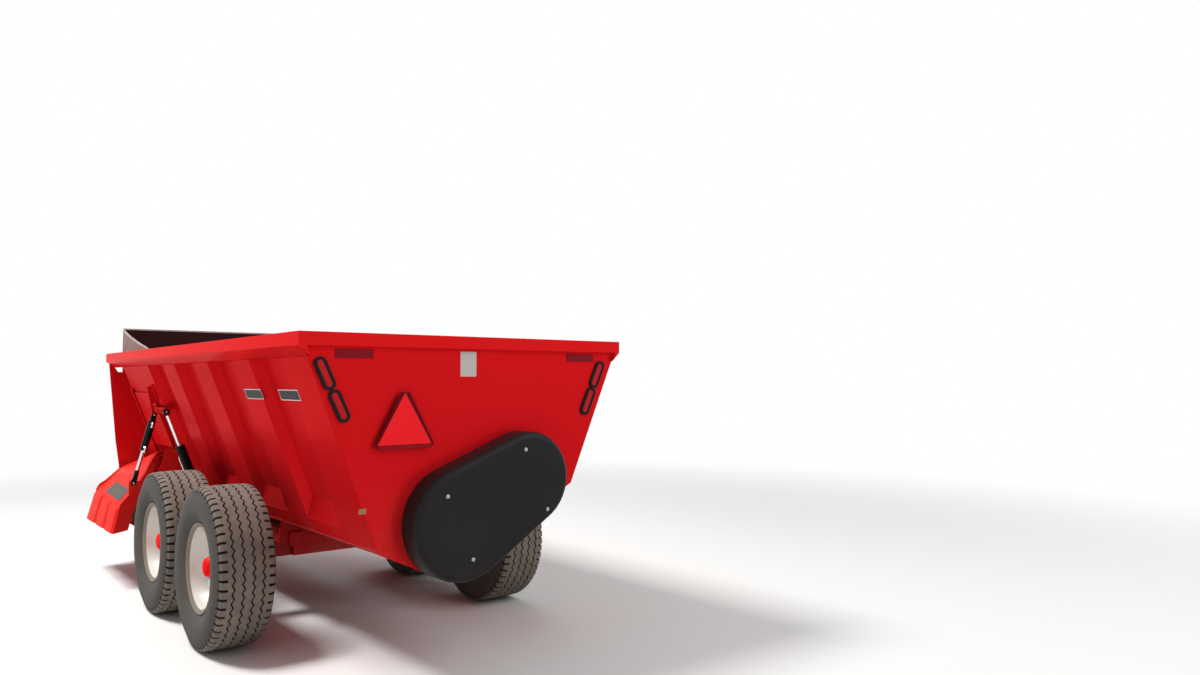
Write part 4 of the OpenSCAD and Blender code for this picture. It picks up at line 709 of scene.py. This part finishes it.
def draped(name, downs, alongs, lift, under, material):
    """A sheet that lies on the hood; lift(i, k) is its height there, and under that of its back."""
    spots = [(i, k) for i in downs for k in alongs]
    verts = [on_hood(i, k, under) for i, k in spots] + [on_hood(i, k, lift(i, k)) for i, k in spots]
    row, back = len(alongs), len(spots)
    last = row * (len(downs) - 1)
    faces = []
    for i in range(len(downs) - 1):
        for k in range(row - 1):
            a = i * row + k
            b = back + a
            faces += [(a, a + 1, a + row + 1, a + row), (b, b + row, b + row + 1, b + 1)]
    edge = (list(range(row)) + list(range(2 * row - 1, last, row)) + list(range(last + row - 1, last, -1))
            + list(range(last, 0, -row)))
    faces += [(a, b, b + back, a + back) for a, b in zip(edge, edge[1:] + edge[:1])]
    return piece(name, verts, faces, material, "hood", 25)


hood_grey = finish("hood_plate_grey", (0.060, 0.052, 0.049), 0.42, radius=0.001, dust_amount=0.1)
draped("hood_plate", [PLATE_TOP + PLATE_DOWN * i / 12 for i in range(13)],
       [PLATE_REAR + PLATE_LONG * k / 16 for k in range(17)], lambda i, k: PLATE_LIFT, PLATE_BACK, hood_grey)

# The hood's lip: its steel sheet is pressed outward in three bays, which run out at its bottom edge
# and leave two grooves between them.
BAY_LIFT, LIP_LIFT, BAY_FROM, BAY_SLOPE = 0.019, 0.0008, 2.05, 0.12
# along the lip: where each bay starts, is full, stops being full and ends
bay_edges = ((0.004, 0.020, 0.254, 0.290), (0.310, 0.346, 0.594, 0.630), (0.650, 0.686, 0.980, 0.996))
lip_downs = [2.02, 2.05, 2.08, 2.11, 2.14, 2.17, 2.3, 2.45, 2.6, 2.75, 2.9, 3.0]
lip_alongs = sorted({k for b in bay_edges for k in b} | {n / 40 for n in range(1, 40)} | {0.001, 0.999})


def bay_height(i, k):
    """Height of the pressed bays: full inside each bay, sloping at its ends and at the fold above."""
    drop = min(1.0, max(0.0, (i - BAY_FROM) / BAY_SLOPE))
    for start, full, full_end, end in bay_edges:
        if start < k < end:
            full_share = min(1.0, (k - start) / (full - start), (end - k) / (end - full_end))
            return LIP_LIFT + BAY_LIFT * drop * full_share
    return LIP_LIFT


draped("hood_lip_bays", lip_downs, lip_alongs, bay_height, 0.0, red_hood_lit)

# Cylinders: black enamelled steel barrels with plated rods, steel ports and forged black eyes on pins.
# A steel tube runs from the gate's cylinder to a collar on the wall; the hood's ports end in capped elbows.
ROD_EYE_L, ROD_PIN_HALF, BARREL_PIN_HALF = 0.112, 0.0240, 0.0250
HOOD_BARREL_R, ELBOW_R, ELBOW_FROM, ELBOW_TURN, ELBOW_OUT = 0.029, 0.0065, 0.026, 0.044, 0.046
ELBOW_DOWN, CAP_DOWN, HINGE_IN, HINGE_DROP = 0.026, 0.024, 1.909, 7.825
GATE_CYL_X, GATE_CYL_OUT, GATE_EYE_S, GATE_PORT_S, GATE_BLACK_S = 1.930, 0.045, 0.794, 0.158, 0.762
GATE_PORT_OUT, PIPE_R, PIPE_FROM, PIPE_TURN, BEND_SHARE = 0.036, 0.0060, 0.060, 0.075, 0.45
COLLAR_X, COLLAR_S = 2.078, 0.400
# the rest of the tube's way on the wall: x, up along it, out of it
pipe_way = ((1.985, 0.235, 0.075), (2.060, 0.362, 0.060), (2.075, 0.392, 0.040), (COLLAR_X, COLLAR_S, 0.0005))
pin_end = [(0.0085, 0.0), (0.0085, 0.0015), (0.0070, 0.0025)]
port = [(0.0125, -0.004), (0.0125, 0.010), (0.0100, 0.012), (0.0100, 0.016), (0.0135, 0.016), (0.0135, 0.028),
        (0.011, 0.030)]
cap = [(0.0115, 0.0), (0.0115, 0.016), (0.0090, 0.019)]
cylinder_black = finish("cylinder_black", (0.007, 0.007, 0.008), 0.28, coat=0.10, radius=0.003,
                        dust_amount=0.12)
dress(cylinder_black, "gate_barrel", "hood_barrel")
rod_silver, forged_black = (0.74, 0.74, 0.75), (0.012, 0.012, 0.013)
plated_look = dict(metal=1.0, radius=0.001, dust_amount=0.1, dust_top=0.0, cloud_depth=0.05)
plated = finish("plated_steel", rod_silver, 0.16, **plated_look)
dress(plated, "hood_pins", "input_shaft", "jack_leg")
gate_rod_steel = finish("gate_rod_steel", rod_silver, 0.16,
                        beyond=(on_wall(0, GATE_BLACK_S), wall_up, forged_black, 0.0), **plated_look)
dress(gate_rod_steel, "gate_rod")
hinge_turn = (Matrix.Rotation(math.radians(-HINGE_IN), 3, "Z")
              @ Matrix.Rotation(math.radians(HINGE_DROP), 3, "Y"))


def on_hinge(x, out, up):
    """A point of the hood's hinge frame: along the hinge line, out of it, up from it."""
    return MID + HINGE + hinge_turn @ Vector((x, out, up))


cyl_top, cyl_eye = on_hinge(0.043, 0.11114, 0.33442), on_hinge(0.043, 0.275, -0.252)
cyl_down = (cyl_eye - cyl_top).normalized()
cyl_across = (hinge_turn @ Vector((1, 0, 0))).normalized()
hood_rod_steel = finish("hood_rod_steel", rod_silver, 0.16,
                        beyond=(cyl_eye - cyl_down * ROD_EYE_L, cyl_down, forged_black, 0.0), **plated_look)
dress(hood_rod_steel, "hood_rod")
for name, middle, half, body in (("hood_rod_pin_ends", cyl_eye, ROD_PIN_HALF, "hood_rod"),
                                 ("hood_barrel_pin_ends", cyl_top, BARREL_PIN_HALF, "hood_barrel")):
    turned(name, pin_end, [(middle + cyl_across * (s * half), cyl_across * s) for s in (-1, 1)], plated, body)
turned("gate_rod_pin_ends", pin_end,
       [(on_wall(GATE_CYL_X + s, GATE_EYE_S, GATE_CYL_OUT), Vector((math.copysign(1, s), 0, 0)))
        for s in (-0.0240, 0.0400)], plated, "gate")


def tube(name, points, r, material, body, sides=12):
    """A bent steel tube along points; its bends are rounded."""
    path = [points[0]]
    for a, b, c in zip(points, points[1:], points[2:]):
        reach = min((b - a).length, (c - b).length) * BEND_SHARE
        p, q = b + (a - b).normalized() * reach, b + (c - b).normalized() * reach
        path += [p.lerp(b, u).lerp(b.lerp(q, u), u) for u in (0.0, 0.25, 0.5, 0.75, 1.0)]
    path.append(points[-1])
    verts, faces, side = [], [], (path[1] - path[0]).orthogonal()
    for i, p in enumerate(path):
        ahead_dir = (path[min(i + 1, len(path) - 1)] - path[max(i - 1, 0)]).normalized()
        side = (side - ahead_dir * side.dot(ahead_dir)).normalized()
        other = ahead_dir.cross(side)
        for k in range(sides):
            a = 2 * math.pi * k / sides
            verts.append(p + side * (r * math.cos(a)) + other * (r * math.sin(a)))
    for i in range(len(path) - 1):
        for k in range(sides):
            a, b = i * sides + k, i * sides + (k + 1) % sides
            faces.append((a, b, b + sides, a + sides))
    faces += [tuple(reversed(range(sides))), tuple(range(len(verts) - sides, len(verts)))]
    return piece(name, verts, faces, material, body, 40)


hood_ports = [cyl_top + cyl_down * d - cyl_across * HOOD_BARREL_R for d in (0.082, 0.300)]
turned("hood_barrel_ports", port, [(p, -cyl_across) for p in hood_ports], plated, "hood_barrel",
       6, 20, 0.4)
for k, p in enumerate(hood_ports):
    tube(f"hood_barrel_elbow_{k}", [p - cyl_across * ELBOW_FROM, p - cyl_across * ELBOW_TURN,
                                    p - cyl_across * ELBOW_OUT + cyl_down * ELBOW_DOWN],
         ELBOW_R, plated, "hood_barrel")
turned("hood_barrel_caps", cap,
       [(p - cyl_across * ELBOW_OUT + cyl_down * CAP_DOWN, cyl_down) for p in hood_ports],
       plated, "hood_barrel", 6, 20)
gate_port = on_wall(GATE_CYL_X, GATE_PORT_S, GATE_CYL_OUT)
gate_port_out = (Vector((1, 0, 0)) + wall_out * 0.5).normalized()
turned("gate_barrel_port", port, [(gate_port + gate_port_out * GATE_PORT_OUT, gate_port_out)], plated, ROOT,
       6, 20)
tube("gate_barrel_tube", [gate_port + gate_port_out * d for d in (PIPE_FROM, PIPE_TURN)]
     + [on_wall(*spot) for spot in pipe_way], PIPE_R, plated, ROOT)
turned("gate_tube_collar", [(0.014, 0), (0.014, 0.010), (0.011, 0.012)],
       [(on_wall(COLLAR_X, COLLAR_S, 0.0), wall_out)], plated, ROOT, 6, 20)

# Guide rivets: five painted steel rivets down each of the gate's guides. Their heads are flat,
# because the gate's arm passes 2 mm above them.
GUIDE_REAR_X, GUIDE_FRONT_X, RIVET_OFF = 2.332, 3.028, 0.016
RIVETS, RIVET_FROM, RIVET_STEP, RIVET_OUT = 5, 0.190, 0.180, 0.024
guide_rivets = [(on_wall(x, RIVET_FROM + RIVET_STEP * k, RIVET_OUT), wall_out)
                for x in (GUIDE_REAR_X - RIVET_OFF, GUIDE_FRONT_X + RIVET_OFF) for k in range(RIVETS)]
turned("guide_rivets", [(0.0095, -0.0004), (0.0095, 0.0006), (0.0060, 0.0014)], guide_rivets, red_enamel,
       ROOT, 20)

# Expeller: hammers of hardened steel welded to a drum, which throw the manure out under the hood.
# The steel is bare, dulled and stained by the manure.
rotor_steel = finish("rotor_steel", (0.22, 0.17, 0.13), 0.5, metal=0.7, radius=0.004, dust_amount=0.6,
                     cloud_depth=0.6)
dress(rotor_steel, "expeller_rotor")

# Augers: helical flighting of 10 mm steel welded round a centre tube, on shafts in greased bearings.
# The lower one is right-handed, the upper one smaller and left-handed; both are scoured bright.
WALL_T, FRONT_X = 0.005, 3.511
INNER_REAR, INNER_FRONT = REAR_X + WALL_T, FRONT_X - WALL_T
PITCH, FLIGHT_T, FLIGHT_END, FLIGHT_FOOT = 0.520, 0.010, 0.060, 0.004
TUBE_R, TUBE_END, SHAFT_R, SHAFT_OUT, SHAFT_SIDES = 0.070, 0.042, 0.032, 0.020, 48
# the solid's flight has 16 steps a turn; this one has 60 over the same turns
SOLID_STEPS, TURN_STEPS = 16, 60
auger_steel = finish("auger_steel", (0.33, 0.30, 0.26), 0.42, metal=0.7, radius=0.002, dust_amount=0.3,
                     cloud_depth=0.6, dust_colour=(0.16, 0.10, 0.06))


def off_axis(x, y, z, r, a):
    """A point at radius r and angle a round an auger's axis."""
    return MID + Vector((x, y + r * math.cos(a), z + r * math.sin(a)))


# each auger: node, the axis' y and z, the flight's radius, its hand
for name, y, z, r, hand in (("lower_auger", 0.165, 0.920, 0.290, 1),
                            ("upper_auger", -0.300, 1.157, 0.220, -1)):
    verts, faces = [], []
    x0, x1 = INNER_REAR + FLIGHT_END, INNER_FRONT - FLIGHT_END - FLIGHT_T
    turns = round((x1 - x0) / PITCH * SOLID_STEPS) / SOLID_STEPS
    count = round(turns * TURN_STEPS)
    foot_r = TUBE_R - FLIGHT_FOOT
    for i in range(count + 1):
        a, x = hand * 2 * math.pi * turns * i / count, x0 + (x1 - x0) * i / count
        for here, dx in ((foot_r, 0.0), (r, 0.0), (r, FLIGHT_T), (foot_r, FLIGHT_T)):
            verts.append(off_axis(x + dx, y, z, here, a))
    for i in range(count):
        for k in range(4):
            a, b = 4 * i + k, 4 * i + (k + 1) % 4
            faces.append((a, b, b + 4, a + 4))
    faces += [(3, 2, 1, 0), (4 * count, 4 * count + 1, 4 * count + 2, 4 * count + 3)]
    for here, xa, xb in ((TUBE_R, INNER_REAR + TUBE_END, INNER_FRONT - TUBE_END),
                         (SHAFT_R, REAR_X - SHAFT_OUT, FRONT_X + SHAFT_OUT)):
        start, sides = len(verts), SHAFT_SIDES
        for x in (xa, xb):
            verts += [off_axis(x, y, z, here, 2 * math.pi * k / sides) for k in range(sides)]
        for k in range(sides):
            a, b = start + k, start + (k + 1) % sides
            faces.append((a, b, b + sides, a + sides))
        faces += [tuple(reversed(range(start, start + sides))),
                  tuple(range(start + sides, start + 2 * sides))]
    auger = piece("smooth_" + name, verts, faces, auger_steel, name, 35)
    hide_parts(name)

# Hitch, gearbox and bearings: dark iron castings, bolted on with zinc bolts.
# The gearbox has a breather on its top.
HITCH_X, HITCH_Z, HITCH_BACK = 5.311, 0.500, 0.140
CLEVIS_HALF, CLEVIS_BOLT, CLEVIS_BOLT_UP = 0.045, 0.022, 0.030
SHAFT_Z, BOX_FACE, BOX_HALF_W, BOX_HALF_H, BOX_BOLT = 0.760, 0.300, 0.100, 0.090, 0.019
BREATHER_X, BREATHER_UP = 0.150, 0.120
casting = finish("casting", (0.06, 0.06, 0.062), 0.55, metal=0.3, radius=0.004, dust_amount=0.5, dust_top=0.3,
                 grain=0.3)
dress(casting, "auger_bearings", "hitch_clevis", "gearbox")
box_bolts = [(MID + Vector((FRONT_X + BOX_FACE, BOX_HALF_W * y, SHAFT_Z + BOX_HALF_H * z)), Vector((1, 0, 0)))
             for y, z in ((-1, -1), (1, -1), (1, 1), (-1, 1))]
hex_bolts("gearbox_bolts", box_bolts, BOX_BOLT, ROOT, zinc)
turned("gearbox_breather", [(0.012, -0.001), (0.012, 0.012), (0.018, 0.014), (0.018, 0.030), (0.013, 0.036)],
       [(MID + Vector((FRONT_X + BREATHER_X, 0, SHAFT_Z + BREATHER_UP)), up_z)], zinc, ROOT,
       24)
clevis_bolts = [(MID + Vector((HITCH_X - HITCH_BACK, s * CLEVIS_HALF, HITCH_Z + z)), left_y * s)
                for s in (-1, 1) for z in (-CLEVIS_BOLT_UP, CLEVIS_BOLT_UP)]
hex_bolts("clevis_bolts", clevis_bolts, CLEVIS_BOLT, ROOT, zinc)
